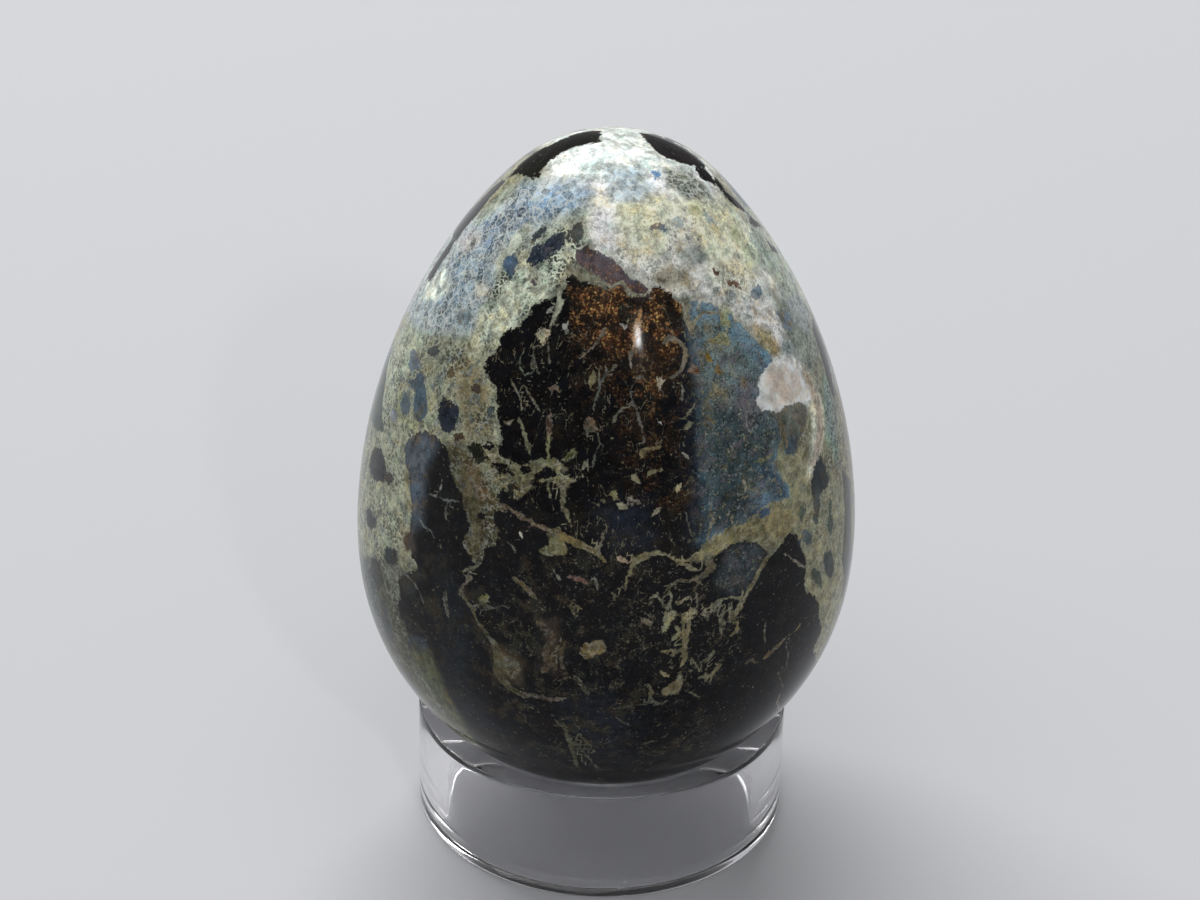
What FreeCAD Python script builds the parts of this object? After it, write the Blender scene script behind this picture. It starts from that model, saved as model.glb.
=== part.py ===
import FreeCAD, Part
from collections import namedtuple
import math
import os

# Decorative stone egg that rests, blunt end down, in a clear ring stand.
# Millimetres, +Z up. The origin is the centre of the ring's underside.

# Ring stand: a short length of clear tube
ring_outer_diameter = 32.0
ring_height = 10.3
ring_wall = 2.5
# Radial width of the bevel, at the bore's upper edge, that the egg rests on
seat_bevel_width = 0.3
# Width and height of the bevel on each of the other edges
edge_bevel = 0.25

# Egg
egg_diameter = 42.2
egg_length = 58.7
# Height of the widest level above the blunt pole
belly_height = 22.1

# Largest turn of one piece of a flank. A tall band of the surface would need many more facets.
longest_flank_turn = math.radians(13)

# Gap between the egg and the bevel, square to the bevel
seat_clearance = 0.02

UP = FreeCAD.Vector(0, 0, 1)
ORIGIN = FreeCAD.Vector(0, 0, 0)
QUARTER_TURN = math.pi / 2

# An arc of an outline. Its angles are measured at the centre, up from the outward direction.
Bend = namedtuple("Bend", "centre radius start_angle end_angle")


def point(radius, height):
    """A point of an outline that is turned about the Z axis."""
    return FreeCAD.Vector(radius, 0, height)


def on_bend(bend, angle):
    """The point of an arc at an angle."""
    return bend.centre + point(bend.radius * math.cos(angle), bend.radius * math.sin(angle))


def arc_edges(bend, pieces=1):
    """An arc in equal pieces."""
    half_step = (bend.end_angle - bend.start_angle) / (2 * pieces)
    edges = []
    for piece in range(pieces):
        middle_angle = bend.start_angle + (2 * piece + 1) * half_step
        angles = (middle_angle - half_step, middle_angle, middle_angle + half_step)
        edges.append(Part.Arc(*[on_bend(bend, angle) for angle in angles]).toShape())
    return edges


def flank_edges(flank):
    return arc_edges(flank, math.ceil(abs(flank.end_angle) / longest_flank_turn))


def turned(outline):
    """The solid that a closed outline in the XZ plane sweeps about the Z axis."""
    return Part.Face(outline).revolve(ORIGIN, UP, 360)


# Egg outline, with the blunt pole at height zero. It is four arcs, each tangent to the next: two
# below the belly and two above it, where each pair follows a quarter of an ellipse.
belly_radius = egg_diameter / 2


def half_outline(half_height, direction):
    """The end's arc and the flank's arc on one side of the belly: -1 for down, 1 for up.

    The end's arc has the radius of the ellipse at its pole. The flank's arc is upright at the
    belly, so its centre is level with it. The two meet on the line through their centres.
    """
    end_radius = belly_radius ** 2 / half_height
    end_rise = half_height - end_radius
    reach = belly_radius ** 2 + end_rise ** 2 - end_radius ** 2
    flank_radius = reach / (2 * (belly_radius - end_radius))
    flank_offset = flank_radius - belly_radius
    joint_angle = direction * math.atan(end_rise / flank_offset)
    end_centre = point(0, belly_height + direction * end_rise)
    flank_centre = point(-flank_offset, belly_height)
    end = Bend(end_centre, end_radius, joint_angle, direction * QUARTER_TURN)
    flank = Bend(flank_centre, flank_radius, 0, joint_angle)
    return end, flank


blunt_end, lower_flank = half_outline(belly_height, -1)
pointed_end, upper_flank = half_outline(egg_length - belly_height, 1)

# Seat: the bevel is a cone that touches the egg along the middle of its width
ring_radius = ring_outer_diameter / 2
bore_radius = ring_radius - ring_wall
seat_radius = bore_radius + seat_bevel_width / 2
seat_is_on_blunt_end = seat_radius < on_bend(blunt_end, blunt_end.start_angle).x
seat_bend = blunt_end if seat_is_on_blunt_end else lower_flank
seat_angle = -math.acos((seat_radius - seat_bend.centre.x) / seat_bend.radius)
seat_tilt = QUARTER_TURN + seat_angle
seat_bevel_height = seat_bevel_width * math.tan(seat_tilt)
lift_for_clearance = seat_clearance / math.cos(seat_tilt)
seat_height = ring_height - seat_bevel_height / 2 + lift_for_clearance
egg_base_height = seat_height - on_bend(seat_bend, seat_angle).z


def stone_egg():
    """The egg's arcs, closed along its axis, turned about it and set on the ring's bevel."""
    axis = Part.LineSegment(point(0, egg_length), ORIGIN).toShape()
    outline = arc_edges(blunt_end) + flank_edges(lower_flank) + flank_edges(upper_flank)
    outline += arc_edges(pointed_end) + [axis]
    egg = turned(Part.Wire(Part.sortEdges(outline)[0]))
    egg.translate(point(0, egg_base_height))
    return egg


def ring_stand():
    """A tube with bevelled edges. The egg rests on the one at the bore's upper edge."""
    outline = [
        point(bore_radius + edge_bevel, 0),
        point(ring_radius - edge_bevel, 0),
        point(ring_radius, edge_bevel),
        point(ring_radius, ring_height - edge_bevel),
        point(ring_radius - edge_bevel, ring_height),
        point(bore_radius + seat_bevel_width, ring_height),
        point(bore_radius, ring_height - seat_bevel_height),
        point(bore_radius, edge_bevel),
    ]
    return turned(Part.makePolygon(outline + outline[:1]))


os.makedirs("parts", exist_ok=True)
parts = {"ring_stand": ring_stand(), "stone_egg": stone_egg()}
for name, shape in parts.items():
    shape.exportStep(f"parts/{name}.step")
    print(name, "valid", shape.isValid(), "volume", round(shape.Volume, 1))
bends = {"blunt end": blunt_end, "lower flank": lower_flank}
bends.update({"upper flank": upper_flank, "pointed end": pointed_end})
for name, bend in bends.items():
    print(name, "radius", round(bend.radius, 2), "from", round(math.degrees(bend.start_angle), 1))
print("egg base height", round(egg_base_height, 3), "seat tilt", round(math.degrees(seat_tilt), 2))
print("gap between egg and ring", round(parts["ring_stand"].distToShape(parts["stone_egg"])[0], 4))
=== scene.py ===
import math

import bpy
import numpy as np
from mathutils import Matrix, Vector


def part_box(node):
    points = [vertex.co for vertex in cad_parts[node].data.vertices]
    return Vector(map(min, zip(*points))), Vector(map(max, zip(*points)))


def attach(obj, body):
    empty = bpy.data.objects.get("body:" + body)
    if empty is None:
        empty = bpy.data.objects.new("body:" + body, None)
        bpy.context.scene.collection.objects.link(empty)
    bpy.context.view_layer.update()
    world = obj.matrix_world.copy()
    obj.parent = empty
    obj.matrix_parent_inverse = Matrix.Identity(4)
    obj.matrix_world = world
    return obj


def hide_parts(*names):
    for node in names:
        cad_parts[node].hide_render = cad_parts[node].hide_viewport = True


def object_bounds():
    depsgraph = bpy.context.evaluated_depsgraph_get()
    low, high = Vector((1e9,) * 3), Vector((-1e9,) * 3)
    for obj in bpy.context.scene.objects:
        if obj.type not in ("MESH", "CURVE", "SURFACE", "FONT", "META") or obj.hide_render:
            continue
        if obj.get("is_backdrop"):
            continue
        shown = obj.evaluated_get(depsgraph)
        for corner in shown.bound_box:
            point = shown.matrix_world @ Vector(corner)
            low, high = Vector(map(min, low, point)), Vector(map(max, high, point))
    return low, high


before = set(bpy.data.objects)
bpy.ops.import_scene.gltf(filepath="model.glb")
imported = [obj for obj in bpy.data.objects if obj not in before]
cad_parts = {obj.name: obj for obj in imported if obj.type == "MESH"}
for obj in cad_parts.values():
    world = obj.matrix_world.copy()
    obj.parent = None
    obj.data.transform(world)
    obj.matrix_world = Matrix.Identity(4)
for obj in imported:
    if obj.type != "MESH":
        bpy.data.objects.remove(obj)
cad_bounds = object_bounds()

# Decorative egg of polished breccia, black and steel-blue fragments in a pale matrix, on a clear
# ring. Lengths are in millimetres until they reach Blender, and pixels are the photograph's.

MM = 0.001
TINY = 1e-9


def arm(azimuth, elevation):
    """A direction, from angles in degrees. Azimuth 0 is the camera's side, 90 is on its right."""
    azimuth, elevation = math.radians(azimuth), math.radians(elevation)
    level = math.cos(elevation)
    return np.array((math.sin(azimuth) * level, -math.cos(azimuth) * level, math.sin(elevation)))


def unit(run):
    return run / max(np.linalg.norm(run), TINY)


def set_up(thing, right, up, back, place):
    """Turns an object to three axes and sets it at a place."""
    columns = (right, up, back, place * MM)
    rows = [[column[row] for column in columns] for row in range(3)]
    thing.matrix_world = Matrix([*rows, [0, 0, 0, 1]])
    bpy.context.collection.objects.link(thing)


def mesh_object(name, vertices, faces):
    mesh = bpy.data.meshes.new(name)
    mesh.from_pydata((np.array(vertices) * MM).tolist(), [], faces)
    made = bpy.data.objects.new(name, mesh)
    bpy.context.collection.objects.link(made)
    return made


# Camera, fitted to the outlines of the egg and the ring in the photograph

IMAGE_WIDTH, IMAGE_HEIGHT = 1200, 900
SENSOR_WIDTH = 36.0
FOCAL_PIXELS = 3567.96
CLIP_START = 0.01
CAMERA_ELEVATION = 30.538
CAMERA_ROLL = math.radians(1.295)
CAMERA_TARGET = np.array((-0.645, 0.0, 34.856))
CAMERA_DISTANCE = 300.0

camera_back = arm(0, CAMERA_ELEVATION)
level_right = np.array((1.0, 0.0, 0.0))
level_up = np.cross(camera_back, level_right)
camera_right = math.cos(CAMERA_ROLL) * level_right + math.sin(CAMERA_ROLL) * level_up
camera_up = math.cos(CAMERA_ROLL) * level_up - math.sin(CAMERA_ROLL) * level_right
camera_place = CAMERA_TARGET + CAMERA_DISTANCE * camera_back

camera_data = bpy.data.cameras.new("camera")
camera_data.sensor_width = SENSOR_WIDTH
camera_data.lens = FOCAL_PIXELS / IMAGE_WIDTH * SENSOR_WIDTH
camera_data.clip_start = CLIP_START
camera = bpy.data.objects.new("camera", camera_data)
set_up(camera, camera_right, camera_up, camera_back, camera_place)
bpy.context.scene.camera = camera

# Outline of the egg

EGG_RADIUS = 21.1
EGG_LENGTH = 58.7
EGG_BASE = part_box("stone_egg")[0].z / MM

# The outline's radius of curvature steps at three angles of its normal, as in the CAD egg. Here
# each step is spread over a few degrees, so that reflections don't break there.
POLE_BEND_RADIUS = 20.15
LOWER_STEP, LOWER_SPREAD = math.radians(-52.1), math.radians(3)
BELLY_STEP, BELLY_SPREAD = 0.0, math.radians(10)
UPPER_STEP, UPPER_SPREAD = math.radians(40.2), math.radians(8)
HALF_SAMPLES = 3000


def ease(value):
    """Rises smoothly from 0 to 1 as the value does."""
    value = np.clip(value, 0, 1)
    return value * value * (3 - 2 * value)


def after(angle, step, spread):
    return ease((angle - step + spread) / (2 * spread))


def covered(angle, curvature_radius):
    """Distances outward and upward that a bend covers up to each angle of its normal."""
    step = np.diff(angle)
    sums = []
    for rate in (-curvature_radius * np.sin(angle), curvature_radius * np.cos(angle)):
        sums.append(np.concatenate(([0], np.cumsum((rate[1:] + rate[:-1]) / 2 * step))))
    return np.array(sums)


normal_angle = np.linspace(-math.pi / 2, math.pi / 2, 2 * HALF_SAMPLES + 1)
past_lower = after(normal_angle, LOWER_STEP, LOWER_SPREAD)
past_belly = after(normal_angle, BELLY_STEP, BELLY_SPREAD)
past_upper = after(normal_angle, UPPER_STEP, UPPER_SPREAD)
shares = (1 - past_lower, past_lower - past_belly, past_belly - past_upper, past_upper)
pole_bend, *free_bends = [covered(normal_angle, share) for share in shares]
pole_bend = pole_bend * POLE_BEND_RADIUS

# The other three radii make the egg as wide at the belly, closed at the top and as long as it is
demands = ((0, HALF_SAMPLES, EGG_RADIUS), (0, -1, 0), (1, -1, EGG_LENGTH))
reached = [[bend[axis, place] for bend in free_bends] for axis, place, _ in demands]
missing = [wanted - pole_bend[axis, place] for axis, place, wanted in demands]
bend_radii = np.linalg.solve(reached, missing)
outline_radius, outline_height = pole_bend + sum(r * bend for r, bend in zip(bend_radii, free_bends))
outline_radius[[0, -1]] = 0
outline_height += EGG_BASE
outline_steps = np.hypot(np.diff(outline_radius), np.diff(outline_height))
outline_length = np.concatenate(([0], np.cumsum(outline_steps)))

# Points of the stone

COLUMNS = 400
ROWS = 248
RAY_NEAR, RAY_FAR, RAY_SAMPLES = 265.0, 335.0, 3501
EGG_PIXEL = np.array((603.0, 450.0))
LEAST_SHRINK, SHRINKS = 0.8, 101

levels = np.linspace(0, outline_length[-1], ROWS + 1)[1:-1]
row_radius = np.interp(levels, outline_length, outline_radius)
row_height = np.interp(levels, outline_length, outline_height)
row_normal = np.interp(levels, outline_length, normal_angle)
turn = np.linspace(0, 2 * math.pi, COLUMNS, endpoint=False)


def around(outward, upward):
    """A vector for each column of each row, from its length outward and upward in that row."""
    outward, upward = outward[:, None], upward[:, None]
    parts = (outward * np.sin(turn), -outward * np.cos(turn), upward + 0 * turn)
    return np.stack(parts, axis=-1).reshape(-1, 3)


def on_stone(places):
    """Points of the stone, from rows of azimuth, in degrees as for arm, and height."""
    azimuth, height = np.radians(places[:, 0]), places[:, 1]
    radius = np.interp(height, outline_height, outline_radius)
    return np.stack((radius * np.sin(azimuth), -radius * np.cos(azimuth), height), axis=-1)


def seen_point(pixels):
    """Points of the stone at pixels of the photograph. A pixel beside the stone moves to its rim."""
    found = np.zeros((len(pixels), 3))
    left = np.ones(len(pixels), dtype=bool)
    depth = np.linspace(RAY_NEAR, RAY_FAR, RAY_SAMPLES)
    for shrink in np.linspace(1, LEAST_SHRINK, SHRINKS):
        at = EGG_PIXEL + (pixels[left] - EGG_PIXEL) * shrink
        across = (at[:, :1] - IMAGE_WIDTH / 2) / FOCAL_PIXELS * camera_right
        down = (at[:, 1:] - IMAGE_HEIGHT / 2) / FOCAL_PIXELS * camera_up
        ray = across - down - camera_back
        spots = camera_place + depth[None, :, None] * ray[:, None, :]
        radius = np.interp(spots[..., 2], outline_height, outline_radius, left=-1, right=-1)
        inside = np.hypot(spots[..., 0], spots[..., 1]) < radius
        hit = inside.any(axis=1)
        places = np.flatnonzero(left)[hit]
        found[places] = spots[hit, inside[hit].argmax(axis=1)]
        left[places] = False
        if not left.any():
            break
    return found


poles = ((0, 0, outline_height[0]), (0, 0, outline_height[-1]))
vertices = np.concatenate((around(row_radius, row_height), poles))
normals = np.concatenate((around(np.cos(row_normal), np.sin(row_normal)), ((0, 0, -1), (0, 0, 1))))

# Flat maps of the surface. Directions from the stone's middle stand for its points.

MIDDLE = np.array((0, 0, EGG_BASE + 27.0))
SKEW = (0.31, 0.17, 0.93)


def directions(points):
    arms = points - MIDDLE
    return arms / np.linalg.norm(arms, axis=-1, keepdims=True)


vertex_directions = directions(vertices)


def flat_map(centre, scale):
    """Lays directions flat round a centre, true to length near it, in millimetres."""
    first = unit(np.cross(centre, SKEW))
    second = np.cross(centre, first)

    def lay(arms):
        along = np.clip(arms @ centre, -1, 1)
        sideways = np.stack((arms @ first, arms @ second), axis=-1)
        length = np.linalg.norm(sideways, axis=-1, keepdims=True)
        return sideways / np.maximum(length, TINY) * np.arccos(along)[..., None] * scale

    return lay


def divided(points, longest):
    """The points of a line with more put on its long stretches."""
    points = np.array(points, dtype=float)
    made = [points[:1]]
    for start, end in zip(points, points[1:]):
        pieces = max(1, math.ceil(np.linalg.norm(end - start) / longest))
        made.append(start + (end - start) * np.linspace(0, 1, pieces + 1)[1:, None])
    return np.concatenate(made)


def patch_map(line, margin):
    """The line laid flat, the vertices within a margin of it, and those vertices laid flat."""
    arms = directions(line)
    centre = unit(arms.mean(axis=0))
    scale = np.linalg.norm(line - MIDDLE, axis=-1).mean()
    spread = np.arccos(np.clip(arms @ centre, -1, 1)).max() + margin / scale
    near = np.flatnonzero(vertex_directions @ centre > math.cos(min(spread, math.pi)))
    lay = flat_map(centre, scale)
    return lay(arms), near, lay(vertex_directions[near])


def to_segments(spots, line):
    """For each spot: distance to the line, side of it, and where along it the nearest point is."""
    best = np.full(len(spots), np.inf)
    side = np.zeros(len(spots))
    place = np.zeros(len(spots))
    for number, (start, end) in enumerate(zip(line, line[1:])):
        run = end - start
        share = np.clip((spots - start) @ run / max(run @ run, TINY ** 2), 0, 1)
        gap = spots - start - share[:, None] * run
        distance = np.hypot(gap[:, 0], gap[:, 1])
        nearer = distance < best
        best[nearer] = distance[nearer]
        side[nearer] = np.sign(run[0] * gap[nearer, 1] - run[1] * gap[nearer, 0])
        place[nearer] = number + share[nearer]
    return best, side, place


def inside_outline(spots, line):
    within = np.zeros(len(spots), dtype=bool)
    for (x0, y0), (x1, y1) in zip(line, line[1:]):
        if y0 != y1:
            crosses = (y0 > spots[:, 1]) != (y1 > spots[:, 1])
            within ^= crosses & (spots[:, 0] < (x1 - x0) * (spots[:, 1] - y0) / (y1 - y0) + x0)
    return within


# Fields and colours of the vertices, which the stone's material reads

REACH = 3.0
GROUND_START = (150, 148, 120)
INNER_START = (9, 9, 11)
PALEST = 0.95

# The share of light that a place of the stone gets from this scene's lamps. Colours read off the
# photograph are divided by it, so that they look the same here.
LIGHT_EVEN, LIGHT_FROM_WINDOW, LIGHT_FROM_ABOVE = 0.44, 0.58, 0.19
LIGHT_DIRECTION = arm(-162, 48)
LIGHT_WRAP = 0.25

# What the fields hold where nothing is painted. The first three are lengths: the depth inside the
# nearest fragment, the distance to the nearest vein's line with its side, and its half width.
FIELD_STARTS = {
    "clast": -REACH, "vein_side": REACH, "vein_width": -1.0, "busy": 0.0, "calm": 0.3, "flake": 0.4,
    "speckle": 0.45, "scribble": 0.0, "tangle": 0.0, "mottle": 0.25, "glint": 0.0, "sheen": 0.0,
}


def linear(colour):
    """Linear light of a colour given as 0 to 255 on screen."""
    share = np.array(colour, dtype=float) / 255
    return np.where(share <= 0.04045, share / 12.92, ((share + 0.055) / 1.055) ** 2.4)


facing = normals @ LIGHT_DIRECTION
facing = np.where(facing > LIGHT_WRAP, facing, np.maximum(facing + LIGHT_WRAP, 0) ** 2)
light_share = LIGHT_EVEN + LIGHT_FROM_WINDOW * facing + LIGHT_FROM_ABOVE * normals[:, 2]
fields = {name: np.full(len(vertices), value) for name, value in FIELD_STARTS.items()}
ground = np.tile(linear(GROUND_START), (len(vertices), 1))
inner = np.tile(linear(INNER_START), (len(vertices), 1))

# Brushes. Each takes a line of points on the stone, and colours as they look.

EDGE_SOFT = 0.8
VEIN_SHADE = 0.74
VEIN_REACH = 2.0
VEIN_NEAR, VEIN_NARROWING, VEIN_LEAST = 0.4, 3, -1.0
VEIN_HALO = 0.5


def paint(target, places, colour, share):
    """Moves the colours of some vertices towards one."""
    own = np.minimum(linear(colour) / light_share[places, None], PALEST)
    target[places] += (own - target[places]) * share[:, None]


def signed(line, margin=REACH):
    """Vertices near a closed line and their distance inside it."""
    flat, near, spots = patch_map(line, margin)
    distance, _, _ = to_segments(spots, flat)
    return near, np.where(inside_outline(spots, flat), distance, -distance)


def clast(line, colour, soft=EDGE_SOFT):
    """A dark fragment: raises the clast field and colours what is near."""
    near, depth = signed(line)
    fields["clast"][near] = np.maximum(fields["clast"][near], depth)
    paint(inner, near, colour, ease(depth / soft + 1))


def pale(line, colour):
    """A piece of matrix inside a fragment."""
    near, depth = signed(line)
    fields["clast"][near] = np.minimum(fields["clast"][near], -depth)
    paint(ground, near, colour, ease(depth / EDGE_SOFT + 1))


def tint(target, line, colour, soft, strength=1.0):
    """Colours a soft-edged zone of the ground or of the fragments."""
    near, depth = signed(line, soft + 1)
    paint(target, near, colour, strength * ease(depth / (2 * soft) + 0.5))


def level(name, line, value, soft):
    """Sets a field in a soft-edged zone."""
    near, depth = signed(line, soft + 1)
    field = fields[name]
    field[near] += (value - field[near]) * ease(depth / (2 * soft) + 0.5)


def vein(line, widths, colour):
    """A thin pale line. Its side and half width are kept, so that it stays sharp between vertices."""
    flat, near, spots = patch_map(line, VEIN_REACH)
    distance, side, place = to_segments(spots, flat)
    half = np.interp(place, np.linspace(0, len(flat) - 1, len(widths)), widths) / 2
    before_start = (flat[0] - spots) @ unit(flat[1] - flat[0])
    past_end = (spots - flat[-1]) @ unit(flat[-1] - flat[-2])
    half = half - np.maximum(np.maximum(before_start, past_end), 0)
    # Away from the line it narrows, so that no false line is drawn midway between two veins
    away = np.maximum(distance - np.maximum(half, 0) - VEIN_NEAR, 0)
    half = np.maximum(half - VEIN_NARROWING * away, VEIN_LEAST)
    lead = half - distance > fields["vein_width"][near] - np.abs(fields["vein_side"][near])
    taken = near[lead]
    fields["vein_width"][taken] = half[lead]
    fields["vein_side"][taken] = (distance * np.where(side == 0, 1, side))[lead]
    paint(ground, near, np.array(colour) * VEIN_SHADE, ease((half + VEIN_HALO - distance) / VEIN_HALO))


# Places of the photograph. Outlines and lines are in its pixels, and so are the veins' widths.

PIXEL = 1 / 11.9
OUTLINE_STEP, VEIN_STEP = 12, 6


def photo_outline(points):
    return seen_point(divided([*points, points[0]], OUTLINE_STEP))


BLACK = (8, 8, 10)
SLATE = (66, 80, 96)
# Steel blue: on the front's blue fragment it is a painted reflection, and on the back it is some fragments'
# own colour.
STEEL = (70, 88, 100)
BROWN_BLACK = (38, 30, 25)

# Soft zones of the matrix: colour, softness, outline
GROUND_ZONES = {
    # Painted highlight: the crown is the pale cap's own near-white, lightened further to stand in for the
    # bright reflection on the top.
    "crown": ((232, 238, 232), 1.2, [
        (545, 140), (600, 120), (660, 128), (710, 165), (720, 200), (650, 205), (590, 205), (545, 195)]),
    "cream band": ((232, 222, 190), 1.2, [
        (588, 200), (640, 203), (700, 195), (750, 215), (785, 260), (806, 300), (815, 350), (800, 368),
        (770, 345), (730, 310), (700, 300), (660, 292), (640, 282), (600, 258), (588, 240)]),
    # Painted reflection: the pink cream is a pinkish cream of its own, lightened to stand in for a broad
    # glow reflected there.
    "pink cream": ((255, 230, 212), 0.6, [
        (590, 200), (616, 203), (622, 225), (614, 250), (598, 252), (590, 230)]),
    "white cream": ((234, 216, 182), 0.8, [
        (620, 200), (660, 205), (670, 235), (650, 262), (625, 258), (616, 225)]),
    "yellow cream": ((220, 212, 178), 0.8, [
        (690, 200), (735, 215), (765, 262), (745, 300), (715, 290), (700, 250)]),
    "green cream": ((136, 148, 128), 0.8, [(745, 215), (790, 262), (808, 318), (790, 300), (762, 262)]),
    "right grey": ((114, 121, 112), 0.8, [(770, 290), (806, 300), (822, 350), (808, 372), (786, 340)]),
    "right ochre": ((140, 128, 96), 0.4, [(752, 325), (770, 330), (781, 352), (776, 358), (758, 342)]),
    "right flank": ((106, 104, 82), 1.0, [
        (775, 440), (800, 420), (812, 375), (836, 400), (846, 480), (846, 560), (838, 630), (805, 650),
        (805, 560), (780, 530), (770, 500)]),
    "green rim": ((96, 120, 104), 0.5, [(822, 370), (834, 392), (842, 440), (838, 465), (826, 440)]),
    "left flank": ((130, 132, 112), 1.2, [
        (352, 520), (356, 440), (380, 370), (410, 320), (480, 300), (500, 340), (500, 440), (440, 430),
        (405, 460), (408, 540), (396, 570), (360, 560)]),
    "left green": ((158, 164, 142), 0.7, [
        (382, 370), (412, 310), (430, 300), (425, 345), (398, 385), (380, 440)]),
    "left cream": ((166, 164, 134), 0.8, [(472, 300), (498, 300), (500, 345), (478, 352), (462, 340)]),
    "left ochre": ((112, 105, 80), 0.6, [
        (455, 350), (482, 372), (492, 405), (490, 440), (466, 430), (455, 395)]),
    "white band": ((170, 176, 158), 0.7, [
        (505, 262), (520, 242), (545, 222), (578, 220), (587, 240), (580, 268), (565, 278), (560, 290),
        (549, 300), (531, 310), (521, 325), (505, 336), (480, 345), (484, 300), (492, 282)]),
    "upper left": ((134, 146, 148), 0.8, [
        (498, 205), (525, 178), (548, 182), (586, 198), (580, 214), (545, 224), (528, 242), (508, 258),
        (500, 268), (488, 290), (470, 335), (430, 332), (412, 325), (402, 300), (425, 262), (462, 225)]),
    "blue wash": ((94, 114, 134), 0.5, [
        (520, 190), (550, 192), (572, 200), (560, 212), (530, 226), (505, 240), (480, 262), (470, 290),
        (450, 322), (425, 320), (412, 306), (432, 300), (452, 296), (450, 262), (480, 222), (500, 212)]),
    "sky sheen": ((150, 176, 200), 0.8, [
        (538, 188), (575, 180), (592, 190), (590, 202), (566, 208), (535, 204), (522, 198)]),
    "frost right": ((178, 196, 206), 0.5, [(604, 166), (640, 168), (653, 186), (645, 200), (612, 202)]),
    "olive frost": ((98, 101, 86), 0.4, [
        (663, 168), (690, 172), (706, 186), (712, 200), (690, 199), (668, 188)]),
    "grey stain": ((136, 140, 136), 0.5, [
        (676, 250), (690, 243), (704, 250), (708, 262), (694, 267), (680, 262)]),
    "dusty stain": ((140, 136, 120), 0.5, [
        (652, 272), (670, 264), (690, 272), (692, 288), (672, 290), (656, 284)]),
    "cream lump": ((232, 222, 190), 0.3, [(645, 196), (662, 194), (672, 204), (664, 214), (648, 210)]),
    "cream lump 2": ((224, 210, 176), 0.3, [(700, 228), (716, 232), (726, 250), (716, 262), (702, 250)]),
    "cream lump 3": ((226, 210, 176), 0.3, [(636, 222), (652, 220), (668, 240), (660, 258), (640, 252)]),
    "green lump": ((188, 196, 166), 0.4, [(739, 243), (752, 240), (760, 262), (748, 270)]),
    "grey low": ((124, 130, 132), 0.3, [(724, 290), (734, 289), (738, 298), (728, 302)]),
    "moss": ((186, 184, 144), 0.3, [(690, 206), (698, 204), (703, 212), (696, 218), (689, 213)]),
    "moss 2": ((168, 170, 134), 0.3, [(732, 226), (740, 228), (744, 238), (737, 242), (731, 235)]),
    "pink stain": ((158, 154, 156), 0.5, [
        (456, 236), (468, 228), (482, 232), (480, 246), (466, 254), (456, 248)]),
    "blue stain": ((116, 134, 146), 0.6, [
        (456, 262), (476, 250), (496, 262), (492, 290), (474, 312), (456, 296)]),
    "blue stain 2": ((118, 132, 138), 0.6, [
        (414, 304), (440, 304), (472, 308), (476, 328), (440, 332), (414, 326)]),
    "warm stain": ((176, 166, 146), 0.4, [(476, 282), (484, 280), (488, 292), (482, 300), (475, 294)]),
    "spot halo": ((194, 184, 166), 0.4, [
        (794, 360), (808, 372), (818, 390), (824, 410), (825, 430), (821, 450), (812, 480), (806, 478),
        (811, 455), (813, 432), (811, 412), (806, 394)]),
    "grey right": ((126, 134, 136), 0.5, [(786, 298), (800, 298), (812, 322), (806, 332), (792, 322)]),
    "grey right 2": ((112, 120, 120), 0.3, [(782, 342), (794, 342), (798, 356), (788, 362), (781, 354)]),
    "teal rim": ((100, 118, 114), 0.3, [(824, 384), (834, 396), (840, 420), (834, 444), (827, 430)]),
    "pale fleck": ((208, 216, 200), 0.4, [
        (422, 296), (430, 276), (446, 270), (448, 290), (436, 300), (424, 302)]),
    "lower left": ((54, 54, 40), 2.5, [
        (350, 560), (396, 560), (420, 600), (440, 660), (470, 730), (500, 780), (440, 740), (400, 690),
        (365, 620)]),
    "lower left grey": ((76, 78, 68), 0.6, [
        (383, 560), (398, 566), (412, 590), (420, 612), (404, 610), (390, 590)]),
    "lower left rim": ((46, 52, 50), 0.5, [
        (358, 556), (372, 560), (380, 600), (390, 640), (380, 640), (366, 600)]),
}

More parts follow.
